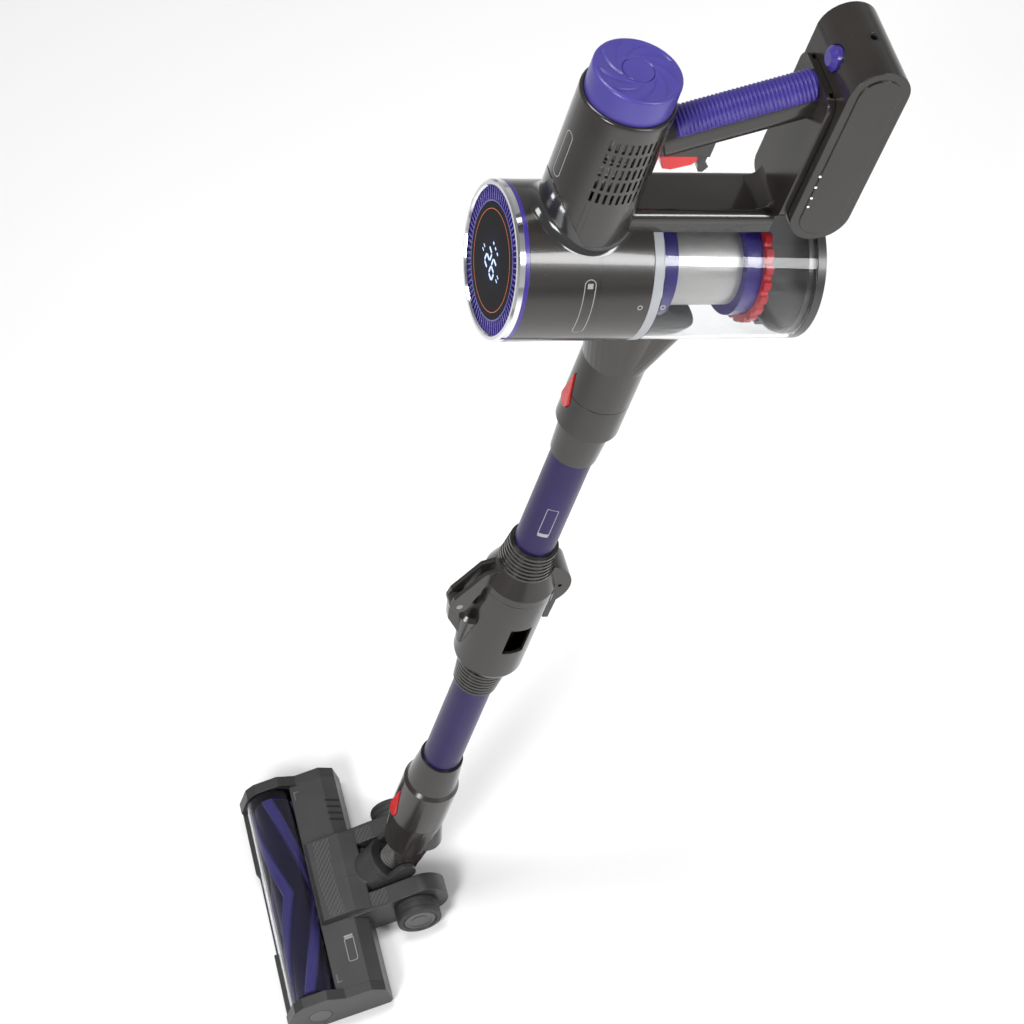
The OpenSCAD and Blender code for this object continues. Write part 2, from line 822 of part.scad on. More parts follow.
module lower_coupling() {
    color(dark) lean() difference() {
        union() {
            translate([0, 0, -rim_top - 38]) cylinder(h = 38, r1 = tube_r + 6, r2 = tube_r + 2.4);
            translate([0, 0, -rim_top - 42]) cylinder(h = 4 + eps, r1 = neck_r, r2 = tube_r + 6);
            rod_z(-lower_seam, -rim_top - 42 + eps, neck_r);
        }
        rod_z(-rim_top - coupling_grip, -rim_top + 1, tube_r);
        rod_z(-lower_seam - 1, -rim_top - coupling_grip + 1, duct_r);
        rod_z(-lower_seam - 1, -lower_seam + spigot_l + 1, spigot_r + running_gap);
        button_cut(neck_button_z);
    }
}

// ---------- neck and fork ----------

module neck_tube() {
    color(dark) at_pivot() rotate([0, -wand_lean, 0]) difference() {
        union() {
            rod_z(75 - eps, 75 + spigot_l, spigot_r);
            translate([0, 0, 28]) cylinder(h = 47 - free_gap, r1 = 22.5, r2 = neck_r);
            translate([-15, 0, 26]) cylinder(h = 5 + eps, r1 = 16.5, r2 = 20);
            translate([-15, 0, 31]) cylinder(h = 34, r1 = 20, r2 = 12);
            for (side = [-1, 1]) {
                translate([0, side * 16.4, 0]) side_plate(5.2) {
                    circle(11);
                    polygon([[-11, 0], [-16, 30], [16, 30], [11, 0]]);
                }
            }
        }
        rod_z(20, 75 + spigot_l + 1, duct_r - 1.5);
        rod_y(-30, 30, pitch_pin_r + running_gap);
    }
}

module swivel_fork() {
    color(darker) at_pivot() difference() {
        union() {
            on_swivel() rod_z(fork_face + fork_flange - eps, fork_face + 27, swivel_r - running_gap);
            on_swivel() rod_z(fork_face, fork_face + fork_flange, swivel_r + 6);
            for (side = [-1, 1]) {
                translate([0, side * (fork_in + fork_out) / 2, 0]) side_plate(fork_out - fork_in) {
                    circle(10);
                    rotate(-swivel_tilt) translate([0, -10]) square([fork_face + 2, 20]);
                }
            }
        }
        on_swivel() rod_z(fork_face - 1, fork_face + 28, 14);
        rod_y(-fork_in - 2.2, fork_in + 2.2, pitch_pin_r);
    }
}

module pitch_pins() {
    color("silver") at_pivot() for (side = [-1, 1]) {
        translate([0, side * 17.2, 0]) rod_y(-4.2, 4.2, pitch_pin_r);
    }
}

module neck_hose() {
    color(darker) at_pivot() {
        rotate([0, -wand_lean, 0]) for (i = [0 : 4]) ring_z(2 + i * 4, 4.6 + i * 4, 12.4, 9.5);
        rotate([0, -wand_lean, 0]) ring_z(1, 20, 11, 9.5);
        on_swivel() for (i = [0 : 3]) ring_z(3 + i * 4, 5.6 + i * 4, 12.4, 9.5);
        on_swivel() ring_z(2, 18, 11, 9.5);
    }
}

// ---------- floor head ----------

// Places children on the brush axis.
module on_brush() {
    translate([brush_reach, 0, floor_z + brush_h]) children();
}

// Outline of the flat rear deck, above the floor.
module deck_outline(inset) {
    polygon([[head_back + 4 + inset, floor_z + 3 + inset], [brush_reach, floor_z + 3 + inset],
             [brush_reach, floor_z + deck_h - inset], [head_back + 12 + inset, floor_z + deck_h - inset],
             [head_back + inset, floor_z + deck_h - 10 - inset], [head_back + inset, floor_z + 8 + inset]]);
}

module head_housing() {
    color(dark) at_pivot() difference() {
        union() {
            side_plate(inner_w) deck_outline(0);
            on_brush() rod_y(-inner_w / 2, inner_w / 2, chamber_r + chamber_wall);
            span_box([brush_reach, -inner_w / 2, floor_z + 3], [nose - 3, inner_w / 2, floor_z + 22]);
        }
        on_brush() rod_y(-inner_w / 2 - 1, inner_w / 2 + 1, chamber_r);
        difference() {
            side_plate(inner_w - 2 * shell_wall) deck_outline(shell_wall);
            on_brush() rod_y(-head_w, head_w, chamber_r + chamber_wall);
            span_box([head_back, -14, floor_z], [brush_reach, -11, floor_z + deck_h]);
        }
        on_brush() span_box([-21, -inner_w / 2 + 4, -brush_h], [21, inner_w / 2 - 4, 0]);
        window_space();
        on_brush() span_box([-40, -15, -10], [-10, 15, 10]);
        span_box([head_back - 2, -arm_out, floor_z], [head_back + 16, arm_out, floor_z + cover_h]);
        swivel_clear();
        sill_front = nose - 3;
        span_box([sill_front - 6, -46, floor_z + 9], [sill_front + 1, 46, floor_z + 19]);
        span_box([head_back, -cover_w / 2 - 0.01, floor_z + deck_h - 8],
                 [deck_front - 2, cover_w / 2 + 0.01, floor_z + deck_h + 1]);
    }
}

// Upper front quarter of the brush chamber, left open for the window.
module window_space() {
    on_brush() span_box([deck_front - brush_reach, -inner_w / 2 - 1, -2],
                        [chamber_r + 10, inner_w / 2 + 1, chamber_r + 20]);
    on_brush() span_box([16, -inner_w / 2 - 1, -4], [chamber_r + 10, inner_w / 2 + 1, 20]);
}

// Space round the swivel socket.
module swivel_clear() {
    on_swivel() rod_z(0, fork_face + 34, swivel_r + 7);
}

module brush_window() {
    color([0.6, 0.6, 0.65, 0.35]) at_pivot() on_brush() intersection() {
        difference() {
            rod_y(-inner_w / 2, inner_w / 2, chamber_r + chamber_wall);
            rod_y(-inner_w, inner_w, chamber_r + chamber_wall - window_t);
        }
        span_box([deck_front - brush_reach + 0.2, -inner_w / 2, -1.8], [40, inner_w / 2, 40]);
    }
}

module end_caps() {
    top = floor_z + brush_h + chamber_r + chamber_wall + 1;
    low = floor_z + 3;
    color(darker) at_pivot() difference() {
        for (side = [-1, 1]) {
            translate([0, side * (head_w - end_t) / 2, 0]) side_plate(end_t)
                polygon([[head_back + 4, low], [nose - 4, low], [nose, low + 6], [nose, low + 22],
                         [nose - 14, top - 5], [nose - 24, top], [brush_reach - 16, top],
                         [deck_front - 8, floor_z + deck_h], [head_back + 12, floor_z + deck_h],
                         [head_back, floor_z + deck_h - 10], [head_back, low + 5]]);
        }
        on_brush() rod_y(-head_w / 2 + 4, head_w / 2 - 4, 4 + running_gap);
        on_brush() rod_y(head_w / 2 - 4 - eps, head_w / 2 + 1, 11 + free_gap);
    }
}

module end_lock() {
    color(dark) at_pivot() on_brush() {
        rod_y(head_w / 2 - 3.6, head_w / 2, 11);
    }
}

// Wheel arm that reaches back from the cover, with its stub axle.
module wheel_arm(side) {
    arm_w = arm_out - arm_in;
    translate([0, side * (arm_in + arm_w / 2), 0]) side_plate(arm_w) {
        translate([axle_x - arm_tail, floor_z + axle_h + 2]) circle(axle_h);
        polygon([[axle_x - arm_tail, floor_z + 2.5], [head_back + 16, floor_z + 6],
                 [head_back + 16, floor_z + cover_h - 8],
                 [axle_x - arm_tail, floor_z + 2 * axle_h + 2]]);
    }
    translate([axle_x, side * arm_out, floor_z + axle_h])
        rod_y(side > 0 ? 0 : -wheel_w, side > 0 ? wheel_w : 0, axle_r);
}

module neck_cover() {
    color(dark) at_pivot() difference() {
        union() {
            side_plate(cover_w)
                polygon([[head_back - 8, floor_z + deck_h - 8], [head_back - 8, floor_z + cover_h - 6],
                         [head_back + 8, floor_z + cover_h], [deck_front - 6, floor_z + cover_h],
                         [deck_front - 2, floor_z + cover_h - 4], [deck_front - 2, floor_z + deck_h - 8]]);
            for (side = [-1, 1]) wheel_arm(side);
            on_swivel() rod_z(fork_face + fork_flange + free_gap, fork_face + 30, swivel_r + 5.5);
            span_box([head_back - 12, -arm_out, floor_z + 6],
                     [head_back + 16, arm_out, floor_z + deck_h - 8 + eps]);
        }
        on_swivel() rod_z(fork_face, fork_face + 29, swivel_r);
        on_swivel() rod_z(fork_face - 2, fork_face + fork_flange + free_gap, swivel_r + 7);
        on_swivel() rod_z(0, fork_face + 80, 14);
        difference() {
            span_box([0, -arm_in, floor_z - 5], [head_back - 12, arm_in, floor_z + 70]);
            on_swivel() rod_z(fork_face + fork_flange + free_gap, fork_face + 30, swivel_r + 5.5);
        }
        span_box([head_back + 2, -34, floor_z + 9], [head_back + 20, 34, floor_z + deck_h - 10]);
        span_box([head_back + 4, -38, floor_z + deck_h - 9], [deck_front - 5, 38, floor_z + cover_h - 3]);
    }
}

module front_bumper() {
    color(darker) at_pivot() difference() {
        span_box([nose - 3, -inner_w / 2, floor_z + 3], [nose, inner_w / 2, floor_z + 20]);
        span_box([nose - 4, -46, floor_z + 8], [nose + 1, 46, floor_z + 21]);
    }
}

module light_bar() {
    color("white") at_pivot() span_box([nose - 9, -46, floor_z + 9], [nose - 3.4, 46, floor_z + 19]);
}

module sole_felt() {
    color("dimgray") at_pivot() span_box([head_back + 26, -inner_w / 2 + 8, floor_z],
                                         [head_back + 38, inner_w / 2 - 8, floor_z + 3]);
}

module head_screws() {
    color("silver") at_pivot() for (side = [-1, 1], x = [head_back + 14, head_back + 34]) {
        translate([x, side * 92, floor_z]) {
            rod_z(5.6, 20, 1.5);
            rod_z(20, 22, 3);
        }
    }
}

module brush_core() {
    half = inner_w / 2 - 3;
    color(violet) at_pivot() on_brush() difference() {
        union() {
            rod_y(-half, half, brush_d / 2 - 8);
            rod_y(-inner_w / 2 - 4, inner_w / 2 + 4, 4);
        }
        rod_y(-half + 2, -half + 92, brush_d / 2 - 10);
    }
}

module bristles() {
    half = inner_w / 2 - 4;
    color("indigo") at_pivot() on_brush() difference() {
        rod_y(-half, half, brush_d / 2);
        rod_y(-half - 1, half + 1, brush_d / 2 - 8);
    }
}

module brush_motor() {
    start = -inner_w / 2 + 8;
    color("gray") at_pivot() on_brush() rod_y(start, start + 70, 11);
}

module wheel(side) {
    inner = arm_out + free_gap;
    color(darker) at_pivot() translate([axle_x, 0, floor_z + axle_h]) difference() {
        rod_y(side > 0 ? inner : -inner - wheel_w, side > 0 ? inner + wheel_w : -inner, wheel_d / 2);
        rod_y(-arm_out - wheel_w - free_gap / 2, arm_out + wheel_w + free_gap / 2, axle_r + running_gap);
    }
}

module wheel_left() {
    wheel(1);
}

module wheel_right() {
    wheel(-1);
}

main_housing();
front_band();
chrome_bezel();
fin_ring();
display_glass();
display_board();
top_rail();
handle_body();
handle_grip();
battery_receiver();
inlet_neck();
motor_can();
motor_mount();
housing_screws();
trigger();
impeller();
filter_cap();
exhaust_filter();
lock_ring();
bin_shell();
bin_lid();
lid_catch();
filter_frame();
filter_mesh();
scraper_ring();
battery_case();
battery_cells();
battery_board();
charging_jack();
battery_release();
wand_socket();
upper_tube();
elbow_yoke();
elbow_pin();
wand_release();
elbow_latch();
elbow_body();
elbow_hose();
lower_tube();
lower_coupling();
coupling_release();
neck_tube();
swivel_fork();
pitch_pins();
neck_hose();
head_housing();
end_caps();
brush_window();
neck_cover();
front_bumper();
light_bar();
sole_felt();
head_screws();
brush_core();
bristles();
brush_motor();
wheel_left();
wheel_right();
end_lock();
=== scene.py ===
"""Looks of the cordless stick vacuum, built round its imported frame. Lengths of the wand and level
frames are in millimetres, as in the part's source, and everything put into Blender is in metres."""
import math
import bmesh
import bpy
import numpy as np
from mathutils import Matrix, Vector


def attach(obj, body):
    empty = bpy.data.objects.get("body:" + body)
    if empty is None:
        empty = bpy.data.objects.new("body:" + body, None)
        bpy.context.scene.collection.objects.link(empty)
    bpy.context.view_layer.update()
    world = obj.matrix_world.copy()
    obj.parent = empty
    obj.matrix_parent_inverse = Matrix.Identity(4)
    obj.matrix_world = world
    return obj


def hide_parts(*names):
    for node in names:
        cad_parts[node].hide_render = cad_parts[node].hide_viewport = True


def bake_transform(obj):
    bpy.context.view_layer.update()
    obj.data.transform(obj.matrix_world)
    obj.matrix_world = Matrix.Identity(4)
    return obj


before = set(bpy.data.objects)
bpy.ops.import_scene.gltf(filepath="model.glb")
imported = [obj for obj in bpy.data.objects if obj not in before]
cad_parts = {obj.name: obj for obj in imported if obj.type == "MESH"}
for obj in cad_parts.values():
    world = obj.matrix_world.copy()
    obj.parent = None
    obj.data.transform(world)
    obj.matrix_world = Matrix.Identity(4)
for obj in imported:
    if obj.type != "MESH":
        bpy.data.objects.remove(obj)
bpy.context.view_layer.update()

TAU = 2 * math.pi
LEAN = math.radians(30)      # lean of the wand
SLOPE = math.radians(22.5)   # slope of the handle
GRIP_BACK, GRIP_RISE = 18.0, 154.0   # grip's centre behind the wand's axis and above the barrel's
PIVOT_DROP = 850             # pitch pivot below the barrel's axis, along the wand
PIVOT_RISE = 0.051           # pitch pivot above the floor, in metres
BARREL_R = 60                # radius of the barrel
TOWER_R, TOWER_X = 36, 75    # radius and place of the motor tower
TUBE_R = 18                  # radius of the wand's tubes
DECK_Z = -9                  # top of the floor head's deck from the pivot
GLASS_X = 132.1              # face of the display glass
BRUSH_X, BRUSH_Z = 120, -27  # brush axis from the pivot
WHEEL_R = 22.3               # wheel axle above the floor


# ---------- places ----------

def from_wand(points):
    """Wand frame to row frame: shift so that the grip centre is the origin, turn about Y by the lean,
    scale to metres."""
    p = np.asarray(points, float)
    x, y, z = p[..., 0] + GRIP_BACK, p[..., 1], p[..., 2] - GRIP_RISE
    c, s = math.cos(LEAN), math.sin(LEAN)
    return np.stack([c * x - s * z, y, s * x + c * z], -1) / 1000


PIVOT = from_wand([0, 0, -PIVOT_DROP])


def from_level(points):
    """Level frame about the pitch pivot to row frame: divide by a thousand and add the pivot."""
    return PIVOT + np.asarray(points, float) / 1000


def stack(*values):
    """Joins coordinate arrays of any matching shapes into one array of points."""
    return np.stack(np.broadcast_arrays(*[np.asarray(v, float) for v in values]), -1)


# ---------- meshes ----------

def ring_faces(rings, closed_along):
    """Quads between neighbouring rings of a (rings, points, 3) grid; each ring closes on itself."""
    n, k = rings.shape[:2]
    index = np.arange(n * k).reshape(n, k)
    near = index if closed_along else index[:-1]
    far = np.roll(index, -1, 0) if closed_along else index[1:]
    quads = np.stack([near, np.roll(near, -1, 1), np.roll(far, -1, 1), far], -1).reshape(-1, 4)
    faces = quads.tolist()
    if not closed_along:
        faces += [index[0][::-1].tolist(), index[-1].tolist()]
    return faces


def piece(name, parts, material, body, replaces=(), closed_along=False, sharp=35, values=None):
    """One object from one or more ring grids in the row frame. Each grid becomes a closed skin: doubles are
    merged, the ends are capped, and its faces are turned outwards. values names one number per point, kept
    as an attribute. A piece with no body is attached to none."""
    parts = [np.asarray(part, float) for part in (parts if isinstance(parts, list) else [parts])]
    points, faces, count = [], [], 0
    for part in parts:
        faces += [[i + count for i in face] for face in ring_faces(part, closed_along)]
        points.append(part.reshape(-1, 3))
        count += part.shape[0] * part.shape[1]
    mesh = bpy.data.meshes.new(name)
    mesh.from_pydata(np.concatenate(points).tolist(), [], faces)
    if values is not None:
        for key, numbers in values.items():
            layer = mesh.attributes.new(key, "FLOAT", "POINT")
            layer.data.foreach_set("value", np.ravel(numbers).astype(np.float32))
    work = bmesh.new()
    work.from_mesh(mesh)
    bmesh.ops.remove_doubles(work, verts=work.verts, dist=2e-6)
    bmesh.ops.dissolve_degenerate(work, edges=work.edges, dist=1e-7)
    bmesh.ops.recalc_face_normals(work, faces=work.faces)
    work.to_mesh(mesh)
    work.free()
    mesh.shade_smooth()
    mesh.set_sharp_from_angle(angle=math.radians(sharp))
    mesh.materials.append(material)
    made = bpy.data.objects.new(name, mesh)
    bpy.context.scene.collection.objects.link(made)
    if body:
        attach(made, body)
    if replaces:
        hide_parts(*replaces)
    return made


def turned_z(profile, centre, count=96):
    """Profile of (radius, height) pairs turned about an upright axis of the wand frame: x = cx + r cos
    a, y = cy + r sin a."""
    profile = np.asarray(profile, float)
    a = np.linspace(0, TAU, count, endpoint=False)[None]
    r, z = profile[:, :1], profile[:, 1:]
    return stack(centre[0] + r * np.cos(a), centre[1] + r * np.sin(a), z)


def turned_y(profile, centre, count=72):
    """Profile of (radius, y) pairs turned about a crosswise axis through centre: x = cx + r cos a, z =
    cz + r sin a."""
    profile = np.asarray(profile, float)
    a = np.linspace(0, TAU, count, endpoint=False)[None]
    r, y = profile[:, :1], profile[:, 1:]
    return stack(centre[0] + r * np.cos(a), centre[1] + y, centre[2] + r * np.sin(a))


def rounded_path(length, width, corner, count=160):
    """Closed outline of a rounded rectangle: a circle of the corner's radius whose quarters are moved
    apart, then points at even steps along it. Returns the points and their outward directions."""
    a = np.linspace(0, TAU, 97)
    a = np.sort(np.concatenate([a, a[::24][:4] + 1e-6]))[:-1]
    unit = np.stack([np.cos(a), np.sin(a)], -1)
    corners = unit * corner + np.sign(np.round(unit, 7) + 1e-12) * [length / 2 - corner, width / 2 - corner]
    loop = np.concatenate([corners, corners[:1]])
    run = np.concatenate([[0], np.cumsum(np.linalg.norm(np.diff(loop, axis=0), axis=1))])
    at = np.linspace(0, run[-1], count, endpoint=False)
    path = np.stack([np.interp(at, run, loop[:, i]) for i in (0, 1)], -1)
    ahead = np.roll(path, -1, 0) - np.roll(path, 1, 0)
    ahead /= np.linalg.norm(ahead, axis=1, keepdims=True)
    return path, np.stack([ahead[:, 1], -ahead[:, 0]], -1)


def outline(surface, path, unit, width, height):
    """Raised line along a closed path: each ring is a small rectangle, half the width to either side of
    the path and from just under the surface to the given height over it."""
    inner, outer = path - unit * width / 2, path + unit * width / 2
    corners = [(inner, -0.3), (outer, -0.3), (outer, height), (inner, height)]
    sides = [surface(edge[:, 0], edge[:, 1], np.full(len(edge), lift)) for edge, lift in corners]
    return np.stack(sides, 1)


def slab(surface, a0, a1, b0, b1, height, count=14):
    """Raised patch between a0..a1 and b0..b1: rings step along a, each going over the patch and back
    under it."""
    a = np.linspace(a0, a1, count)[:, None]
    across = np.linspace(b0, b1, 6)
    b = np.concatenate([across, across[::-1]])[None]
    lift = np.concatenate([np.full(6, height), np.full(6, -0.3)])[None]
    a, b, lift = np.broadcast_arrays(a, b, lift)
    return surface(a, b, lift)


def on_barrel(a, b, lift):
    """Skin of the barrel: a runs forward, b round it upwards from the near side, lift stands off it."""
    t = b / BARREL_R
    return stack(a, (BARREL_R + lift) * np.cos(t), (BARREL_R + lift) * np.sin(t))


def on_tower(a, b, lift):
    """Skin of the motor tower: a runs up it, b round it from straight ahead to the near side."""
    t = b / TOWER_R
    return stack(TOWER_X + (TOWER_R + lift) * np.cos(t), (TOWER_R + lift) * np.sin(t), a)


def on_tube(a, b, lift):
    """Skin of the wand's tubes: a runs up the wand, b round it from straight ahead to the near side."""
    t = b / TUBE_R
    return stack((TUBE_R + lift) * np.cos(t), (TUBE_R + lift) * np.sin(t), a)


def on_deck(a, b, lift):
    """Top of the floor head's flat deck, in the level frame: a runs forward, b to the near side."""
    return stack(a, b, DECK_Z + lift)


def on_glass(a, b, lift):
    """Face of the display glass: a runs to the near side, b up."""
    return stack(GLASS_X + lift, a, b)


# ---------- shader maths ----------

class Value:
    """A socket's value in an expression. Operators add the Math nodes they stand for."""

    def __init__(self, shader, socket):
        self.shader, self.socket = shader, socket

    def math(self, operation, *others):
        """One Math node on this value and the others."""
        return self.shader.node("ShaderNodeMath", {"operation": operation},
                                **{str(i): v for i, v in enumerate((self,) + others)})

    def __add__(self, other):
        return self.math("ADD", other)

    def __radd__(self, other):
        return self.math("ADD", other)

    def __sub__(self, other):
        return self.math("SUBTRACT", other)

    def __rsub__(self, other):
        return (self * -1) + other

    def __mul__(self, other):
        return self.math("MULTIPLY", other)

    def __rmul__(self, other):
        return self.math("MULTIPLY", other)

    def __truediv__(self, other):
        return self.math("DIVIDE", other)

    def __pow__(self, other):
        return self.math("POWER", other)

    def __lt__(self, other):
        return self.math("LESS_THAN", other)

    def __gt__(self, other):
        return self.math("GREATER_THAN", other)

    def sin(self):
        return self.math("SINE")

    def abs(self):
        return self.math("ABSOLUTE")

    def fract(self):
        return self.math("FRACT")

    def ramp(self, low, high):
        """0 below low, 1 above high, and straight in between; low may be the larger of the two."""
        return self.shader.node("ShaderNodeMapRange", {"clamp": True},
                                **{"Value": self, "From Min": low, "From Max": high})

    def band(self, centre, half, soft):
        """1 within half of centre, fading to 0 over soft."""
        return (self - centre).abs().ramp(half + soft, half)


class Shader:
    """A material with one Principled shader, and the few calls that build its nodes."""

    def __init__(self, name):
        self.material = bpy.data.materials.new(name)
        self.material.use_nodes = True
        self.tree = self.material.node_tree
        self.surface = next(n for n in self.tree.nodes if n.type == "BSDF_PRINCIPLED")

    def put(self, socket, value):
        """Links a Value to the socket, or sets the socket to a number, vector or colour."""
        if isinstance(value, Value):
            self.tree.links.new(value.socket, socket)
        elif isinstance(value, (tuple, list)) and len(value) == 3 and len(socket.default_value) == 4:
            socket.default_value = (*value, 1)
        else:
            socket.default_value = value

    def node(self, kind, settings=None, out=0, **sockets):
        """Any node: its type, its settings, and the values or links of its sockets by name or number."""
        made = self.tree.nodes.new(kind)
        for key, value in (settings or {}).items():
            setattr(made, key, value)
        for key, value in sockets.items():
            self.put(made.inputs[int(key)] if key.isdigit() else made.inputs[key], value)
        return Value(self, made.outputs[out])

    def set(self, **sockets):
        """Values or links of the Principled shader; underscores stand for spaces."""
        for key, value in sockets.items():
            self.put(self.surface.inputs[key.replace("_", " ")], value)
        return self

    def place(self, turn=(0, 0, 0), shift=(0, 0, 0), size=(1, 1, 1)):
        """Object coordinates, moved, turned and scaled."""
        raw = self.node("ShaderNodeTexCoord", out=3)
        return self.node("ShaderNodeMapping", {"vector_type": "POINT"},
                         **{"Vector": raw, "Location": shift, "Rotation": turn, "Scale": size})

    def wand(self):
        """x, y and z of the wand frame in millimetres: the row frame turned back by the lean, then
        moved."""
        vector = self.place(turn=(0, LEAN, 0), shift=(-GRIP_BACK, 0, GRIP_RISE), size=(1000, 1000, 1000))
        return vector, *self.split(vector)

    def level(self):
        """x, y and z from the pitch pivot in millimetres."""
        vector = self.place(shift=tuple(-1000 * PIVOT), size=(1000, 1000, 1000))
        return vector, *self.split(vector)

    def split(self, vector):
        """x, y and z of a vector."""
        node = self.tree.nodes.new("ShaderNodeSeparateXYZ")
        self.put(node.inputs[0], vector)
        return [Value(self, node.outputs[i]) for i in range(3)]

    def join(self, x, y, z):
        """Vector made of three numbers."""
        return self.node("ShaderNodeCombineXYZ", X=x, Y=y, Z=z)

    def noise(self, vector, scale, detail=2.0, roughness=0.5):
        """Soft noise from 0 to 1."""
        return self.node("ShaderNodeTexNoise", **{"Vector": vector, "Scale": scale, "Detail": detail,
                                                   "Roughness": roughness})

    def mix(self, factor, low, high):
        """Colour mix: low where factor is 0, high where it is 1."""
        node = self.tree.nodes.new("ShaderNodeMix")
        node.data_type = "RGBA"
        self.put(node.inputs[0], factor)
        self.put(node.inputs[6], low)
        self.put(node.inputs[7], high)
        return Value(self, node.outputs[2])

    def bump(self, height, strength=0.3, depth=0.0002, under=None):
        """Bump normal from a height, laid over another normal if one is given; depth is in metres."""
        more = {"Normal": under} if under else {}
        return self.node("ShaderNodeBump",
                         **{"Height": height, "Strength": strength, "Distance": depth, **more})


def shade(colour, factor):
    """Colour made lighter or darker, and held under full white."""
    return tuple(min(1.0, c * factor) for c in colour)


def moulded(name, colour, roughness=0.25, grain=0.25, metallic=0.0, coat=0.0,
            edge=0.0007, marks=None):
    """Moulded or painted plastic: slow tone drift, fine flow grain in the roughness, faint dust specks,
    softened edges, and marks, a function that may give a mask of dark seam lines."""
    s = Shader(name)
    vector, x, y, z = s.wand()
    drift = s.noise(vector, 0.018, 3)
    fine = s.noise(vector, 1.4, 3, 0.6)
    specks = s.noise(vector, 0.35, 5, 0.72).ramp(0.66, 0.74) * 0.10
    base = s.mix(drift.ramp(0.3, 0.7), shade(colour, 0.86), shade(colour, 1.16))
    rough = roughness * (0.86 + 0.3 * fine) + specks * 0.5
    height = fine * grain
    if marks:
        line = marks(x, y, z)
        base = s.mix(line, base, shade(colour, 0.12))
        height = height - 3 * line
    base = s.mix(specks, base, (0.55, 0.54, 0.52))
    normal = s.node("ShaderNodeBevel", {"samples": 4}, Radius=edge) if edge else None
    s.set(Base_Color=base, Roughness=rough, Metallic=metallic, Coat_Weight=coat, Coat_Roughness=0.06,
          Normal=s.bump(height, 0.12, 0.0001, normal))
    return s


# ---------- finishes ----------

GREY = (0.0195, 0.0168, 0.0152)
VIOLET = (0.034, 0.02, 0.2)
TUBE = (0.016, 0.0085, 0.068)
RED = (0.6, 0.005, 0.006)


def barrel_marks(x, y, z):
    """Seam round the barrel, and two guide lines down the near side of the tower below its air slots."""
    seam = x.band(69, 0.22, 0.25) * (z < 62)
    angle = y.math("ARCTAN2", x - TOWER_X) * 57.3
    guide = (angle.band(60, 0.5, 0.5) + angle.band(66, 0.3, 0.4)) * (z < 93) * (z > 58)
    return (seam + guide).ramp(0, 1)


def rail_marks(_x, _y, z):
    """Joint line along the side of the rail."""
    return z.band(63.5, 0.18, 0.2)


def coupling_marks(x, y, _z):
    """Moulding lines down both sides of the couplings."""
    return y.abs().band(0.0, 0.16, 0.16) * (x < 0)


GLOSS_GREY = moulded("gloss_grey", GREY, 0.2, coat=0.12)
BARREL_GREY = moulded("barrel_grey", GREY, 0.22, coat=0.4, marks=barrel_marks)
RAIL_GREY = moulded("rail_grey", GREY, 0.16, coat=0.4, marks=rail_marks)
COUPLING_GREY = moulded("coupling_grey", GREY, 0.2, coat=0.12, marks=coupling_marks)
BATTERY_GREY = moulded("battery_grey", GREY, 0.19, coat=0.0, edge=0.0011)
# Worn only by the tower's saddle: its black is partly painted reflection of the tower on the barrel
GLOSS_BLACK = moulded("gloss_black", (0.018, 0.018, 0.019), 0.14, coat=0.5)
HEAD_BLACK = moulded("head_black", (0.026, 0.026, 0.027), 0.4, grain=0.9, coat=0.0, edge=0.001)
RIM_BLACK = moulded("rim_black", (0.03, 0.029, 0.028), 0.3, coat=0.2)
RING_GREY = moulded("ring_grey", (0.3, 0.31, 0.33), 0.32, coat=0.1)
VIOLET_GLOSS = moulded("violet_gloss", VIOLET, 0.26, coat=0.3)
VIOLET_GRIP = moulded("violet_grip", shade(VIOLET, 0.95), 0.42, grain=0.8, edge=0)
VIOLET_CAP = moulded("violet_cap", (0.055, 0.042, 0.26), 0.34, grain=0.6, coat=0.1, edge=0)
SIGNAL_RED = moulded("signal_red", RED, 0.26, coat=0.3)
SCRAPER_RED = moulded("scraper_red", (0.5, 0.02, 0.03), 0.45, grain=0.7)
JACK_BLACK = moulded("jack_black", (0.012, 0.012, 0.012), 0.4, edge=0)
BOARD_GREEN = moulded("board_green", (0.02, 0.12, 0.05), 0.5, edge=0)
IMPELLER = moulded("impeller_white", (0.62, 0.62, 0.6), 0.4, edge=0)
FELT = moulded("felt_grey", (0.11, 0.11, 0.115), 0.95, grain=4.0, edge=0)


def anodised(name, colour):
    """Anodised tube: metal with fine lines drawn along the wand and a slow change of tone."""
    s = Shader(name)
    vector, x, y, z = s.wand()
    drawn = s.noise(s.join(x * 1.5, y * 1.5, z * 0.02), 1.0, 4, 0.65)
    drift = s.noise(vector, 0.02, 2)
    base = s.mix(drift.ramp(0.3, 0.7), shade(colour, 0.85), shade(colour, 1.2))
    base = s.mix(drawn.ramp(0.35, 0.8) * 0.35, base, shade(colour, 1.9))
    s.set(Base_Color=base, Roughness=0.33 + 0.14 * drawn, Metallic=0.55, Coat_Weight=0.15,
          Coat_Roughness=0.2, Normal=s.bump(drawn, 0.08, 0.00008))
    return s


TUBE_VIOLET = anodised("violet_tube", TUBE)


def polished(name, colour, roughness, scale):
    """Bare or plated metal: slow waviness and fine scratches in the roughness."""
    s = Shader(name)
    vector, x, y, z = s.wand()
    wave = s.noise(vector, 0.05, 2)
    scratch = s.noise(s.join(x * scale, y * 0.3, z * scale), 1.0, 4, 0.7)
    s.set(Base_Color=s.mix(wave, shade(colour, 0.9), colour), Metallic=1.0,
          Roughness=roughness * (0.7 + 0.6 * scratch), Normal=s.bump(scratch, 0.05, 0.00005))
    return s


CHROME = polished("chrome", (0.86, 0.86, 0.88), 0.09, 0.6)
PIN_STEEL = polished("pin_steel", (0.3, 0.3, 0.31), 0.3, 1.2)
BARE_STEEL = polished("bare_steel", (0.6, 0.6, 0.6), 0.3, 1.2)


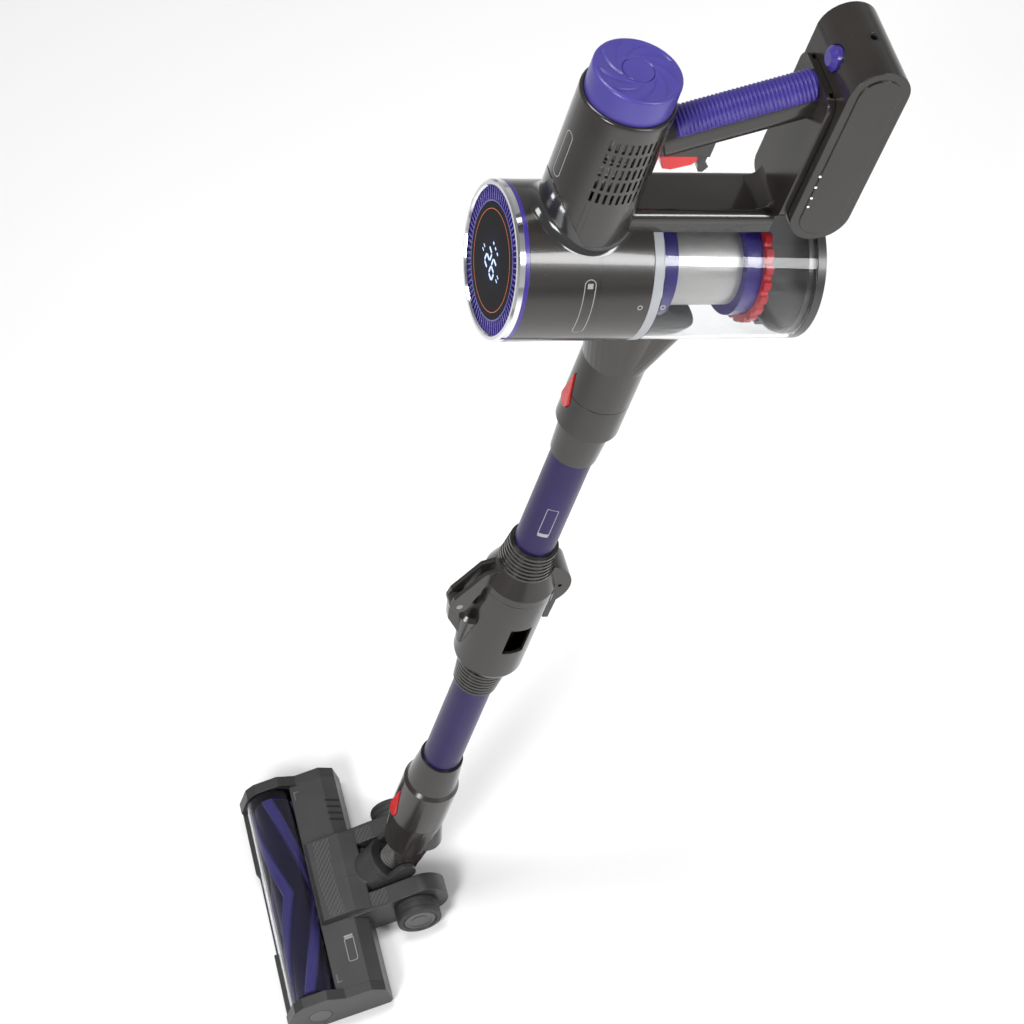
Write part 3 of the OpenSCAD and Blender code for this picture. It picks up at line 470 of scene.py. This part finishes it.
def clear(name, tint, roughness):
    """Clear plastic wall: light passes with a slight bend and tint, under fine haze and a few handling
    marks."""
    s = Shader(name)
    vector = s.wand()[0]
    haze = s.noise(vector, 0.06, 3)
    marks = s.noise(vector, 0.9, 5, 0.75).ramp(0.68, 0.82)
    s.set(Base_Color=s.mix(haze, shade(tint, 0.97), tint), Roughness=roughness + 0.05 * marks,
          Transmission_Weight=1.0, IOR=1.28, Normal=s.bump(haze, 0.02, 0.0003))
    return s


BIN_CLEAR = clear("bin_clear", (0.96, 0.97, 0.98), 0.02)
WINDOW_CLEAR = clear("window_clear", (0.72, 0.72, 0.76), 0.03)


def woven_mesh():
    """Perforated steel: round holes in staggered rows round the filter, worked out from its turned
    coordinates."""
    s = Shader("mesh_steel")
    vector, x, y, z = s.wand()
    turn = y.math("ARCTAN2", z) * 34
    row = (x / 1.3)
    offset = (row.math("FLOOR") * 0.5).fract()
    u, v = (turn / 1.3 + offset).fract() - 0.5, row.fract() - 0.5
    hole = (u * u + v * v).math("SQRT").ramp(0.36, 0.28)
    cloth = s.noise(vector, 0.05, 3)
    base = s.mix(cloth, (0.5, 0.49, 0.47), (0.68, 0.67, 0.65))
    s.set(Base_Color=s.mix(hole * 0.6, base, (0.2, 0.19, 0.18)), Metallic=0.75 - 0.5 * hole,
          Roughness=0.38 + 0.3 * hole, Normal=s.bump(1 - hole, 0.5, 0.0002))
    return s


MESH_STEEL = woven_mesh()


def paper():
    """Pleated filter paper: folds across the rim and a fibrous grain."""
    s = Shader("filter_paper")
    vector, x, y, _ = s.wand()
    angle = y.math("ARCTAN2", x - TOWER_X)
    fold = (angle * 60).sin()
    fibre = s.noise(vector, 0.8, 5, 0.7)
    s.set(Base_Color=s.mix(fibre, (0.62, 0.6, 0.55), (0.8, 0.79, 0.74)), Roughness=0.9,
          Normal=s.bump(fold * 0.5 + fibre, 0.6, 0.0004))
    return s


FILTER_PAPER = paper()


def rubber(name, colour, roughness):
    """Soft black rubber: matt, with a fine grain and a dusty bloom."""
    s = Shader(name)
    vector = s.level()[0]
    grain = s.noise(vector, 1.2, 4, 0.6)
    bloom = s.noise(vector, 0.08, 3).ramp(0.45, 0.75)
    s.set(Base_Color=s.mix(bloom * 0.4, colour, shade(colour, 2.4)), Roughness=roughness + 0.12 * grain,
          Normal=s.bump(grain, 0.2, 0.00015))
    return s


HOSE_BLACK = rubber("hose_black", (0.02, 0.02, 0.021), 0.42)
WHEEL_BLACK = rubber("wheel_black", (0.02, 0.02, 0.021), 0.5)
HOSE_GREY = rubber("hose_grey", (0.075, 0.073, 0.07), 0.45)


def head_top():
    """Satin cover of the floor head: a band of woven pattern just behind the window and a patch of it on
    each wheel arm, with a hair-thin joint line across the middle. The weave's checks are painted lighter
    than the cover, lighter still across each check: painted sheen of the weave, which on the real cover
    shows only in highlights."""
    s = Shader("head_cover")
    vector, x, y, z = s.level()
    fine = s.noise(vector, 1.4, 3, 0.6)
    drift = s.noise(vector, 0.03, 3)
    u, v = (x + y * 0.12) / 2.7, (y - x * 0.12) / 2.7
    check = (u.math("FLOOR") + v.math("FLOOR")).math("MODULO", 2.0).abs()
    slope = (u.fract() * check + v.fract() * (1 - check))
    centre = 78 - 0.0016 * y * y
    band = (x - centre).abs().ramp(8.5, 7.5) * (y.abs() < 42)
    patch = (x.band(33, 8, 1) * (y.abs() - 36).abs().ramp(8.5, 7.5))
    # where the weave lies; its lighter colour below is painted sheen
    weave_and_sheen = (band + patch).ramp(0, 1) * (z > -24)
    line = y.band(6, 0.15, 0.15) * x.band(58, 9, 1)
    base = s.mix(drift.ramp(0.3, 0.7), (0.026, 0.026, 0.027), (0.036, 0.036, 0.037))
    # painted sheen: the weave's checks painted lighter, growing lighter across each check
    base = s.mix(weave_and_sheen * slope.ramp(0.25, 0.95), base, (0.085, 0.085, 0.085))
    s.set(Base_Color=s.mix(line, base, (0.004, 0.004, 0.004)), Roughness=0.36 + 0.1 * fine - 0.12 * weave_and_sheen,
          Coat_Weight=0.1, Coat_Roughness=0.15,
          Normal=s.bump(fine * 0.3 + weave_and_sheen * slope * 0.8 - line, 0.25, 0.0002,
                        s.node("ShaderNodeBevel", {"samples": 4}, Radius=0.0016)))
    return s


HEAD_COVER = head_top()


def housing_top():
    """Satin deck of the floor head: short dark slots at the far rear edge and a tick at each end of the
    window."""
    s = Shader("head_housing")
    vector, x, y, _ = s.level()
    fine = s.noise(vector, 1.4, 3, 0.6)
    drift = s.noise(vector, 0.03, 3)
    slots = ((y + 92) / 7.5).fract().band(0.5, 0.16, 0.04) * (y < -62) * (y > -92) * x.band(57, 6, 0.6)
    along = y.abs().band(104, 4.5, 0.4) * x.band(92, 0.5, 0.3)
    across = y.abs().band(108, 0.5, 0.3) * x.band(90, 2.4, 0.3)
    tick = along + across
    base = s.mix(drift.ramp(0.3, 0.7), (0.028, 0.028, 0.029), (0.038, 0.038, 0.039))
    base = s.mix(slots, base, (0.002, 0.002, 0.002))
    soft_edge = s.node("ShaderNodeBevel", {"samples": 4}, Radius=0.0014)
    s.set(Base_Color=s.mix(tick * 0.5, base, (0.16, 0.16, 0.16)), Roughness=0.36 + 0.1 * fine,
          Coat_Weight=0.1, Coat_Roughness=0.15,
          Normal=s.bump(fine * 0.3 - slots * 4, 0.3, 0.0003, soft_edge))
    return s


HEAD_HOUSING = housing_top()


def glowing(name, colour, strength, cover=(0.02, 0.02, 0.02)):
    """Lit print: light that varies a little over it, under a dark gloss."""
    s = Shader(name)
    glow = s.noise(s.wand()[0], 0.4, 2)
    s.set(Base_Color=cover, Roughness=0.3, Emission_Color=s.mix(glow, shade(colour, 0.9), colour),
          Emission_Strength=strength)
    return s


DIGIT_WHITE = glowing("digit_white", (0.5, 0.66, 1.0), 1.5)
RING_AMBER = glowing("ring_amber", (0.95, 0.16, 0.03), 0.8)
LED_WHITE = glowing("light_white", (0.9, 0.93, 1.0), 0.9, (0.7, 0.7, 0.7))
PRINT_SILVER = moulded("print_silver", (0.3, 0.29, 0.3), 0.38, edge=0)


def display():
    """Black display glass with a faint blue glow behind its lit middle."""
    s = Shader("display_glass")
    vector, _, y, z = s.wand()
    reach = (y * y + z * z).math("SQRT")
    glow = reach.ramp(26, 4)
    haze = s.noise(vector, 0.12, 3)
    s.set(Base_Color=s.mix(haze, (0.003, 0.003, 0.004), (0.007, 0.007, 0.009)),
          Roughness=0.12 + 0.05 * haze, Specular_IOR_Level=0.02,
          Emission_Color=s.mix(glow, (0.0, 0.0, 0.0), (0.004, 0.005, 0.022)), Emission_Strength=1.0)
    return s


DISPLAY_GLASS = display()


def pile(name):
    """Brush pile: near-black nylon with violet bristle rows, which the mesh marks with its row attribute.
    The rows' violet is partly their own colour and partly painted highlight, made light to stand for the
    highlights along the spiral ridges."""
    s = Shader(name)
    row = s.node("ShaderNodeAttribute", {"attribute_name": "row"}, out=2)
    x, y, z = s.level()[1:]
    fibre = s.noise(s.join(x * 3, y * 0.8, z * 3), 0.6, 4, 0.7)
    soft = s.mix(fibre, (0.004, 0.003, 0.014), (0.016, 0.011, 0.07))
    # violet of the bristle rows, lightened as painted highlight along the spiral ridges
    stiff = s.mix(fibre, (0.035, 0.028, 0.16), (0.12, 0.1, 0.42))
    s.set(Base_Color=s.mix(row, soft, stiff), Roughness=0.6 + 0.25 * fibre, Sheen_Weight=0.5,
          Sheen_Roughness=0.4, Normal=s.bump(fibre, 0.6, 0.0006))
    return s


PILE = pile("brush_pile")

CAD_FINISH = {
    "main_housing": BARREL_GREY, "front_band": VIOLET_GLOSS, "chrome_bezel": CHROME,
    "fin_ring": VIOLET_GLOSS, "display_glass": DISPLAY_GLASS, "display_board": BOARD_GREEN,
    "top_rail": RAIL_GREY, "handle_body": GLOSS_GREY, "battery_receiver": GLOSS_GREY,
    "inlet_neck": COUPLING_GREY, "motor_can": BARE_STEEL, "motor_mount": HOSE_BLACK,
    "housing_screws": BARE_STEEL, "trigger": SIGNAL_RED, "impeller": IMPELLER,
    "exhaust_filter": FILTER_PAPER, "lock_ring": RING_GREY, "bin_shell": BIN_CLEAR,
    "bin_lid": RIM_BLACK, "lid_catch": SIGNAL_RED, "filter_frame": VIOLET_GLOSS,
    "filter_mesh": MESH_STEEL, "scraper_ring": SCRAPER_RED, "battery_case": BATTERY_GREY,
    "battery_cells": BARE_STEEL, "battery_board": BOARD_GREEN, "charging_jack": JACK_BLACK,
    "battery_release": VIOLET_GLOSS, "wand_socket": COUPLING_GREY, "upper_tube": TUBE_VIOLET,
    "elbow_yoke": GLOSS_GREY, "elbow_pin": PIN_STEEL, "wand_release": SIGNAL_RED,
    "elbow_latch": GLOSS_GREY, "elbow_body": GLOSS_GREY, "lower_tube": TUBE_VIOLET,
    "lower_coupling": COUPLING_GREY, "coupling_release": SIGNAL_RED, "neck_tube": GLOSS_GREY,
    "swivel_fork": HEAD_BLACK, "pitch_pins": PIN_STEEL, "head_housing": HEAD_HOUSING,
    "end_caps": HEAD_BLACK, "brush_window": WINDOW_CLEAR, "neck_cover": HEAD_COVER,
    "front_bumper": HEAD_BLACK, "light_bar": LED_WHITE, "sole_felt": FELT,
    "head_screws": BARE_STEEL, "brush_core": VIOLET_GLOSS, "brush_motor": BARE_STEEL,
    "end_lock": RIM_BLACK,
}
for node_name, finish in CAD_FINISH.items():
    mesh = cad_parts[node_name].data
    mesh.materials.clear()
    mesh.materials.append(finish.material)


# ---------- hand unit ----------

def ribbed_grip():
    """Soft grip over the top of the handle: an arc on the handle's upper round, standing off by a low
    rib every 3.1 mm. The ends follow the battery receiver and the tower, and the edges turn in under
    the handle's surface."""
    half, middle, along = 14.0, 3.0, 35 * 8
    a = np.linspace(math.pi - 0.3, 0.3, 46)
    unit_y, unit_t = np.cos(a), np.sin(a)
    v = np.linspace(0, 1, along)[:, None]
    t_mid = middle + unit_t * half
    start = (-63.3 + GRIP_BACK - t_mid * math.sin(SLOPE)) / math.cos(SLOPE)
    tower_x = TOWER_X - np.sqrt(36.4 ** 2 - (unit_y * half) ** 2)
    end = np.minimum(52.0, (tower_x + GRIP_BACK - t_mid * math.sin(SLOPE)) / math.cos(SLOPE))
    u = start + v * (end - start)
    rib = np.abs(np.cos(math.pi * u / 3.1)) ** 0.7
    rim = np.clip(np.minimum(v, 1 - v) * 60, 0, 1) * np.clip((unit_t - 0.29) / 0.1, 0, 1)
    off = (0.9 + 1.2 * rib) * rim + 0.15
    outer = stack(u, unit_y * (half + off), middle + unit_t * (half + off))
    inner = stack(u, unit_y * (half - 0.6), middle + unit_t * (half - 0.6))[:, ::-1]
    loop = np.concatenate([outer, inner], 1)
    x, y, t = loop[..., 0], loop[..., 1], loop[..., 2]
    c, s = math.cos(SLOPE), math.sin(SLOPE)
    points = stack(-GRIP_BACK + x * c + t * s, y, GRIP_RISE - x * s + t * c)
    return piece("grip_skin", from_wand(points), VIOLET_GRIP.material, "hand_unit",
                 ["handle_grip"], sharp=60)


def swirl_cap():
    """Filter cap: a turned profile whose top carries nine swept blades. Height over the blade ring is a
    saw of the angle plus a turn that grows with the radius, faded at both rims."""
    top, rim = 193.0, 33.1
    r = np.concatenate([[0.01, 5, 10, 11.4, 11.9, 12.4, 13.0], np.linspace(13.6, 30.2, 30),
                        [31.2, 32.1, 32.75, 33.05, rim, rim, rim, 32.9, 31, 0.01]])
    drop = np.concatenate([[0.2, 0.2, 0.2, 0.3, 1.2, 0.3, 0.1], np.zeros(30),
                           [0.12, 0.5, 1.1, 1.9, 3, 12, 24, 25, 25, 25]])
    a = np.linspace(0, TAU, 288, endpoint=False)
    sweep = (a[None] * 9 / TAU + 1.9 * np.log(np.maximum(r, 1)[:, None] / 10)) % 1.0
    blade = np.where(sweep < 0.9, sweep / 0.9, (1 - sweep) / 0.1)
    fade = np.clip((r - 12.6) / 3, 0, 1) * np.clip((30.6 - r) / 2.5, 0, 1)
    z = top - drop[:, None] - 1.3 * (1 - blade) * fade[:, None]
    points = stack(TOWER_X + r[:, None] * np.cos(a), r[:, None] * np.sin(a), z)
    return piece("cap_shell", from_wand(points), VIOLET_CAP.material, "filter_cap",
                 ["filter_cap"], sharp=50)


def tower_saddle():
    """Gloss black saddle at the tower's foot: a skin 0.5 mm off the tower, tallest in front, that turns out
    on to the barrel in a quarter round. The low fillet all round is part of the cleaner; its black and its
    tall front are painted reflection of the tower on the glossy barrel. Its foot follows the barrel: height
    is the root of 60 squared less y squared."""
    a = np.linspace(0, TAU, 160, endpoint=False)[:, None]
    # front sets where the saddle stands tall: this tall dark front is painted reflection of the tower on
    # the barrel
    front = np.clip((np.cos(a - 0.05) - 0.32) / 0.68, 0, 1) ** 0.75
    size = 3.0 + 5.0 * np.clip(np.cos(a), 0, 1) ** 2
    tall = size + 0.6 + 21 * front
    turn = np.linspace(0, math.pi / 2, 12)[None]
    rise = np.linspace(1, 0, 8)[None]
    reach = np.concatenate([np.full((160, 8), 36.45) + 0 * rise, 36.45 + size * (1 - np.cos(turn))], 1)
    lift = np.concatenate([size + (tall - size) * rise, size * (1 - np.sin(turn))], 1)
    under = np.concatenate([36.45 + size, np.full((160, 1), 35.6), np.full((160, 1), 35.6)], 1)
    below = np.concatenate([np.full((160, 1), -0.7), np.full((160, 1), -0.7), tall], 1)
    reach, lift = np.concatenate([reach, under], 1), np.concatenate([lift, below], 1)
    y = reach * np.sin(a)
    points = stack(TOWER_X + reach * np.cos(a), y, np.sqrt(np.maximum(BARREL_R ** 2 - y ** 2, 0)) + lift)
    return piece("tower_saddle", from_wand(points), GLOSS_BLACK.material, "hand_unit",
                 closed_along=True, sharp=45)


def tower_shoulder():
    """Rounded lip at the top of the tower, turned: a quarter round from the tower's skin in towards the
    cap."""
    a = np.linspace(0, math.pi / 2, 8)
    lip = np.stack([33.9 + 2.1 * np.cos(a), 168 + 2.2 * np.sin(a)], -1)
    profile = np.concatenate([[[36.0, 166.5]], lip, [[33.5, 170.2], [33.5, 166.5]]])
    rings = np.swapaxes(turned_z(profile, (TOWER_X, 0)), 0, 1)
    return piece("tower_lip", from_wand(rings), GLOSS_GREY.material, "hand_unit",
                 closed_along=True)


def seven_segments(digit, centre, height, width, thick):
    """Lit bars of one digit, each a six-sided bar with pointed ends, as ring grids on the display glass."""
    lit = {"2": "abged", "6": "acdefg"}[digit]
    h, w = height / 2, width / 2
    bars = {"a": (0, h, 0), "g": (0, 0, 0), "d": (0, -h, 0), "f": (-w, h / 2, 1), "b": (w, h / 2, 1),
            "e": (-w, -h / 2, 1), "c": (w, -h / 2, 1)}
    made = []
    for key in lit:
        y, z, upright = bars[key]
        half = h / 2 - 0.35 if upright else w - 0.5
        run = np.array([-half, -half + thick / 2, half - thick / 2, half])
        across = np.array([0.04, 1, 1, 0.04]) * thick / 2
        thin, long = np.stack([across, -across, -across, across], 1), np.stack([run] * 4, 1)
        a, b = (y + thin, z + long) if upright else (y + long, z + thin)
        lift = np.broadcast_to([0.12, 0.12, -0.2, -0.2], a.shape)
        made.append(from_wand(on_glass(centre[0] + a, centre[1] + b, lift)))
    return made


def display_print():
    """Lit read-out: a two-digit level, a short bar on either side, and three small bars over it."""
    made = seven_segments("2", (-6.4, -3), 15, 8, 2.0) + seven_segments("6", (6.4, -3), 15, 8, 2.0)
    bars = [(-18, -3, 3.4, 1.1), (18, -3, 3.4, 1.1), (-18, -7, 3.4, 1.1), (18, 1, 3.4, 1.1),
            (-5.5, 12.5, 2.6, 1.6), (0, 12.5, 2.6, 1.6), (5.5, 12.5, 2.6, 1.6)]
    for y, z, wide, tall in bars:
        bar = slab(on_glass, y - wide / 2, y + wide / 2, z - tall / 2, z + tall / 2, 0.12, 3)
        made.append(from_wand(bar))
    return piece("read_out", made, DIGIT_WHITE.material, "hand_unit", sharp=30)


def display_ring():
    """Thin amber ring near the edge of the glass: a flat band turned about the barrel's axis."""
    a = np.linspace(0, TAU, 160, endpoint=False)[:, None]
    r = np.array([[38.1, 38.5, 38.5, 38.1]])
    x = np.array([[132.2, 132.2, 131.9, 131.9]])
    points = stack(x, r * np.cos(a), r * np.sin(a))
    return piece("amber_ring", from_wand(points), RING_AMBER.material, "hand_unit",
                 closed_along=True)


def dome(centre, axis, radius, height):
    """Low round button: radius falls as the cosine and height rises as the sine of one angle, over a
    sunken foot."""
    a = np.linspace(0, math.pi / 2, 7)
    r = np.concatenate([[0.001, radius], radius * np.cos(a[1:-1]), [0.001]])
    h = np.concatenate([[-0.3, -0.3], height * np.sin(a[1:-1]), [height]])
    t = np.linspace(0, TAU, 20, endpoint=False)[None]
    u, v, w = r[:, None] * np.cos(t), r[:, None] * np.sin(t), h[:, None] + 0 * t
    order = {"x": (w, u, v), "y": (u, w, v), "z": (u, v, w)}[axis]
    return stack(centre[0] + order[0], centre[1] + order[1], centre[2] + order[2])


def status_lights():
    """Four charge lights on the near side of the battery."""
    spots = ((-76.5, 128.0), (-77.2, 117.0), (-77.8, 106.0), (-78.4, 97.0))
    made = [from_wand(dome((x, 38.0, z), "y", 1.0, 0.3)) for x, z in spots]
    return piece("charge_lights", made, LED_WHITE.material, "battery")


def release_dots():
    """Grip dots on the battery's release, in two rows."""
    made = [from_wand(dome((-68.4, y, 208 + z), "x", 0.7, 0.35)) for y in (-2.2, 2.2) for z in (-4, 0, 4)]
    return piece("release_dots", made, PRINT_SILVER.material, "battery_release")


def barrel_label():
    """Blank stadium outline printed round the near side of the barrel, with a filled end."""
    path, unit = rounded_path(8.5, 50, 4.2)
    line = outline(on_barrel, path + [76.5, 10], unit, 0.6, 0.1)
    fill = slab(on_barrel, 74.4, 78.6, 28, 32, 0.1)
    piece("barrel_outline", from_wand(line), PRINT_SILVER.material, "hand_unit",
          closed_along=True)
    return piece("barrel_fill", from_wand(fill), PRINT_SILVER.material, "hand_unit")


def tower_label():
    """Blank stadium outline up the front of the tower."""
    path, unit = rounded_path(42, 9, 4.4)
    line = outline(on_tower, path + [116, TOWER_R * math.radians(8)], unit, 0.6, 0.1)
    return piece("tower_outline", from_wand(line), PRINT_SILVER.material, "hand_unit",
                 closed_along=True)


def lock_marks():
    """Open and closed ring marks on either side of the lock ring's joint."""
    for name, body, x in (("lock_mark", "hand_unit", 34.0), ("bin_mark", "dust_bin", 15.6)):
        path, unit = rounded_path(3.4, 3.4, 1.69, 32)
        line = outline(on_barrel, path + [x, 12], unit, 0.7, 0.1)
        piece(name, from_wand(line), PRINT_SILVER.material, body, closed_along=True)


def tube_label():
    """Blank outlined plate printed on the upper tube, with a filled foot."""
    middle = TUBE_R * math.radians(72)
    path, unit = rounded_path(34, 9.5, 1.2)
    line = outline(on_tube, path + [-302, middle], unit, 0.55, 0.08)
    fill = slab(on_tube, -320.5, -316.5, middle - 4.6, middle + 4.6, 0.08)
    piece("tube_outline", from_wand(line), PRINT_SILVER.material, "upper_wand", closed_along=True)
    return piece("tube_fill", from_wand(fill), PRINT_SILVER.material, "upper_wand")


def head_label():
    """Blank outlined plate printed on the near end of the floor head's deck, with a filled end."""
    path, unit = rounded_path(9, 26, 2.0)
    line = outline(on_deck, path + [72, 78], unit, 0.6, 0.12)
    fill = slab(on_deck, 67.6, 76.4, 63, 67, 0.12)
    piece("head_outline", from_level(line), PRINT_SILVER.material, "floor_head",
          closed_along=True)
    return piece("head_fill", from_level(fill), PRINT_SILVER.material, "floor_head")


ribbed_grip()
swirl_cap()
tower_saddle()
tower_shoulder()
display_print()
display_ring()
status_lights()
release_dots()
barrel_label()
tower_label()
lock_marks()
tube_label()
head_label()


# ---------- hoses ----------

def corrugated(path, across, side, radius, depth, ribs):
    """Corrugated hose: a circle carried along a path, its radius less a rounded groove once per rib."""
    n = len(path)
    a = np.linspace(0, TAU, 48, endpoint=False)[None, :, None]
    groove = 0.5 - 0.5 * np.cos(np.linspace(0, ribs * TAU, n))
    r = (radius - depth * (1 - groove ** 0.5))[:, None, None]
    return path[:, None] + r * (np.cos(a) * across[:, None] + np.sin(a) * side)


def elbow_hose():
    """Hose through the elbow, along the wand."""
    z = np.linspace(-511, -374, 22 * 7)
    path = stack(0 * z, 0 * z, z)
    across = np.broadcast_to([1.0, 0, 0], path.shape)
    rings = corrugated(path, across, np.array([0, 1.0, 0]), 16.0, 1.5, 22)
    made = piece("elbow_bellows", from_wand(rings), HOSE_BLACK.material, None,
                 ["elbow_hose"], sharp=70)
    tuple(from_wand([0, 0, -388]))
    tuple(from_wand([0, 0, -497]))
    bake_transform(made)


def neck_hose():
    """Hose from the wand's foot into the floor head: a bend whose middle control point is the pitch pivot."""
    t = np.linspace(0, 1, 16 * 8)[:, None]
    start = 30 * np.array([-math.sin(LEAN), 0, math.cos(LEAN)])
    tilt = math.radians(35)
    end = 26 * np.array([math.cos(tilt), 0, -math.sin(tilt)])
    path = (1 - t) ** 2 * start + t ** 2 * end
    run = np.gradient(path, axis=0)
    run /= np.linalg.norm(run, axis=1, keepdims=True)
    across = np.stack([run[:, 2], 0 * run[:, 1], -run[:, 0]], -1)
    rings = corrugated(path, across, np.array([0, 1.0, 0]), 12.6, 1.5, 14)
    made = piece("neck_bellows", from_level(rings), HOSE_GREY.material, None,
                 ["neck_hose"], sharp=70)
    tuple(from_level(start * 0.7))
    tuple(from_level(end * 0.7))
    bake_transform(made)


elbow_hose()
neck_hose()


# ---------- floor head ----------

def brush_pile():
    """Brush pile on its core: radius is a short pile, plus a swell of stiff bristles along two spirals
    that turn towards each other at the middle, plus a fine fringe that alternates from point to
    point."""
    half, rows, columns = 110.0, 300, 160
    y = np.linspace(-half, half, rows)[:, None]
    a = np.linspace(0, TAU, columns, endpoint=False)[None]
    twist = (a * 4 + np.abs(y) / 17.0) % TAU
    row = np.clip((np.cos(twist) - 0.3) / 0.35, 0, 1)
    fringe = 0.35 * np.sin(a * 80) * np.cos(y * 2.1)
    ends = np.clip((half - np.abs(y)) / 1.5, 0, 1)
    r = (14.4 + (4.6 + 3.0 * row + fringe) * ends)
    outer = stack(BRUSH_X + r * np.cos(a), y + 0 * a, BRUSH_Z + r * np.sin(a))
    first = stack(BRUSH_X + 0.001 * np.cos(a), -half + 0 * a, BRUSH_Z + 0.001 * np.sin(a))
    last = stack(BRUSH_X + 0.001 * np.cos(a), half + 0 * a, BRUSH_Z + 0.001 * np.sin(a))
    rings = np.concatenate([first, outer, last])
    mask = np.concatenate([0 * a, row + 0 * r, 0 * a])
    return piece("brush_pile", from_level(rings), PILE.material, "brush_roll",
                 ["bristles"], sharp=80, values={"row": mask})


def wheel(name, side):
    """Rear wheel: a turned tyre with two grooves, and a hub cap with a raised ring, both about the stub
    axle."""
    inner, outer = 47.5, 64.5
    centre = (3.0, 0.0, WHEEL_R - 1000 * PIVOT_RISE)
    tyre = [(4.06, inner), (20.4, inner), (21.6, inner + 0.5), (22, inner + 1.6), (22, inner + 4.6),
            (21.3, inner + 5), (21.3, inner + 5.8), (22, inner + 6.2), (22, inner + 10.8),
            (21.3, inner + 11.2), (21.3, inner + 12), (22, inner + 12.4), (22, outer - 1.6),
            (21.6, outer - 0.5), (20.4, outer), (17.4, outer), (16.6, outer - 1.2),
            (15.9, outer - 1.2), (4.06, outer - 1.2)]
    tyre = np.array(tyre) * [1, side]
    rings = np.swapaxes(turned_y(tyre, centre), 0, 1)
    piece(name + "_tyre", from_level(rings), WHEEL_BLACK.material, name, [name],
          closed_along=True)
    cap = np.array([(0.001, outer - 2), (15.7, outer - 2), (15.7, outer - 0.9), (15.1, outer - 0.35),
                    (12.4, outer - 0.3), (11.9, outer - 0.75), (8.6, outer - 0.8), (8.0, outer - 0.3),
                    (0.001, outer - 0.15)]) * [1, side]
    return piece(name + "_hub", from_level(turned_y(cap, centre)), RIM_BLACK.material, name)


brush_pile()
wheel("wheel_left", 1)
wheel("wheel_right", -1)


# ---------- stage, camera and light ----------

def stage():
    """Pale floor under the wheels, wide enough to fill the view from every side."""
    floor_z = PIVOT[2] - PIVOT_RISE
    mesh = bpy.data.meshes.new("floor")
    size = 14.0
    corners = [(-size, -size, floor_z), (size, -size, floor_z), (size, size, floor_z),
               (-size, size, floor_z)]
    mesh.from_pydata(corners, [], [(0, 1, 2, 3)])
    s = Shader("floor_pale")
    vector = s.place()
    tone = s.noise(vector, 1.5, 3)
    s.set(Base_Color=s.mix(tone, (0.9, 0.9, 0.9), (0.93, 0.93, 0.93)), Roughness=0.7)
    mesh.materials.append(s.material)
    floor = bpy.data.objects.new("floor", mesh)
    bpy.context.scene.collection.objects.link(floor)


def area_light(name, place, aim, size, power):
    """Soft rectangular light at place, turned to face aim."""
    data = bpy.data.lights.new(name, "AREA")
    data.shape = "RECTANGLE"
    data.size, data.size_y = size
    data.energy = power
    light = bpy.data.objects.new(name, data)
    light.location = place
    light.rotation_euler = (Vector(aim) - Vector(place)).to_track_quat("-Z", "Y").to_euler()
    bpy.context.scene.collection.objects.link(light)


def studio():
    """Pale surround, brighter at the horizon than overhead, and three soft lights."""
    world = bpy.data.worlds.new("studio")
    world.use_nodes = True
    tree = world.node_tree
    ground = tree.nodes["Background"]
    direction, height, ramp = (tree.nodes.new(kind) for kind in (
        "ShaderNodeTexCoord", "ShaderNodeSeparateXYZ", "ShaderNodeMapRange"))
    tree.links.new(direction.outputs["Generated"], height.inputs[0])
    tree.links.new(height.outputs["Z"], ramp.inputs["Value"])
    for key, number in (("From Min", 0.0), ("From Max", 0.9), ("To Min", 0.55), ("To Max", 0.2)):
        ramp.inputs[key].default_value = number
    tree.links.new(ramp.outputs[0], ground.inputs["Strength"])
    ground.inputs["Color"].default_value = (1.0, 1.0, 1.0, 1)
    bpy.context.scene.world = world
    bpy.context.scene.view_settings.view_transform = "Standard"
    area_light("key", (1.9, 2.0, 1.7), (0.2, 0, -0.3), (1.0, 1.5), 78)
    area_light("fill", (-1.9, 1.9, 0.7), (0.1, 0, -0.2), (0.5, 2.0), 48)
    area_light("top", (0.2, -0.6, 2.6), (0.2, 0, -0.3), (2.0, 0.8), 60)


def camera():
    """Camera from the near upper side, its axes given as right, up and back."""
    back = Vector((-0.069, 0.567, 0.822)).normalized()
    right = Vector((-0.939, 0.242, -0.246))
    right = (right - back * right.dot(back)).normalized()
    up = back.cross(right)
    turn = Matrix((right, up, back)).transposed().to_4x4()
    data = bpy.data.cameras.new("camera")
    data.lens, data.sensor_width = 97.56, 36
    data.clip_end = 60
    view = bpy.data.objects.new("camera", data)
    view.matrix_world = Matrix.Translation((0.1145, 1.3071, 1.5206)) @ turn
    bpy.context.scene.collection.objects.link(view)
    bpy.context.scene.camera = view


stage()
studio()
camera()
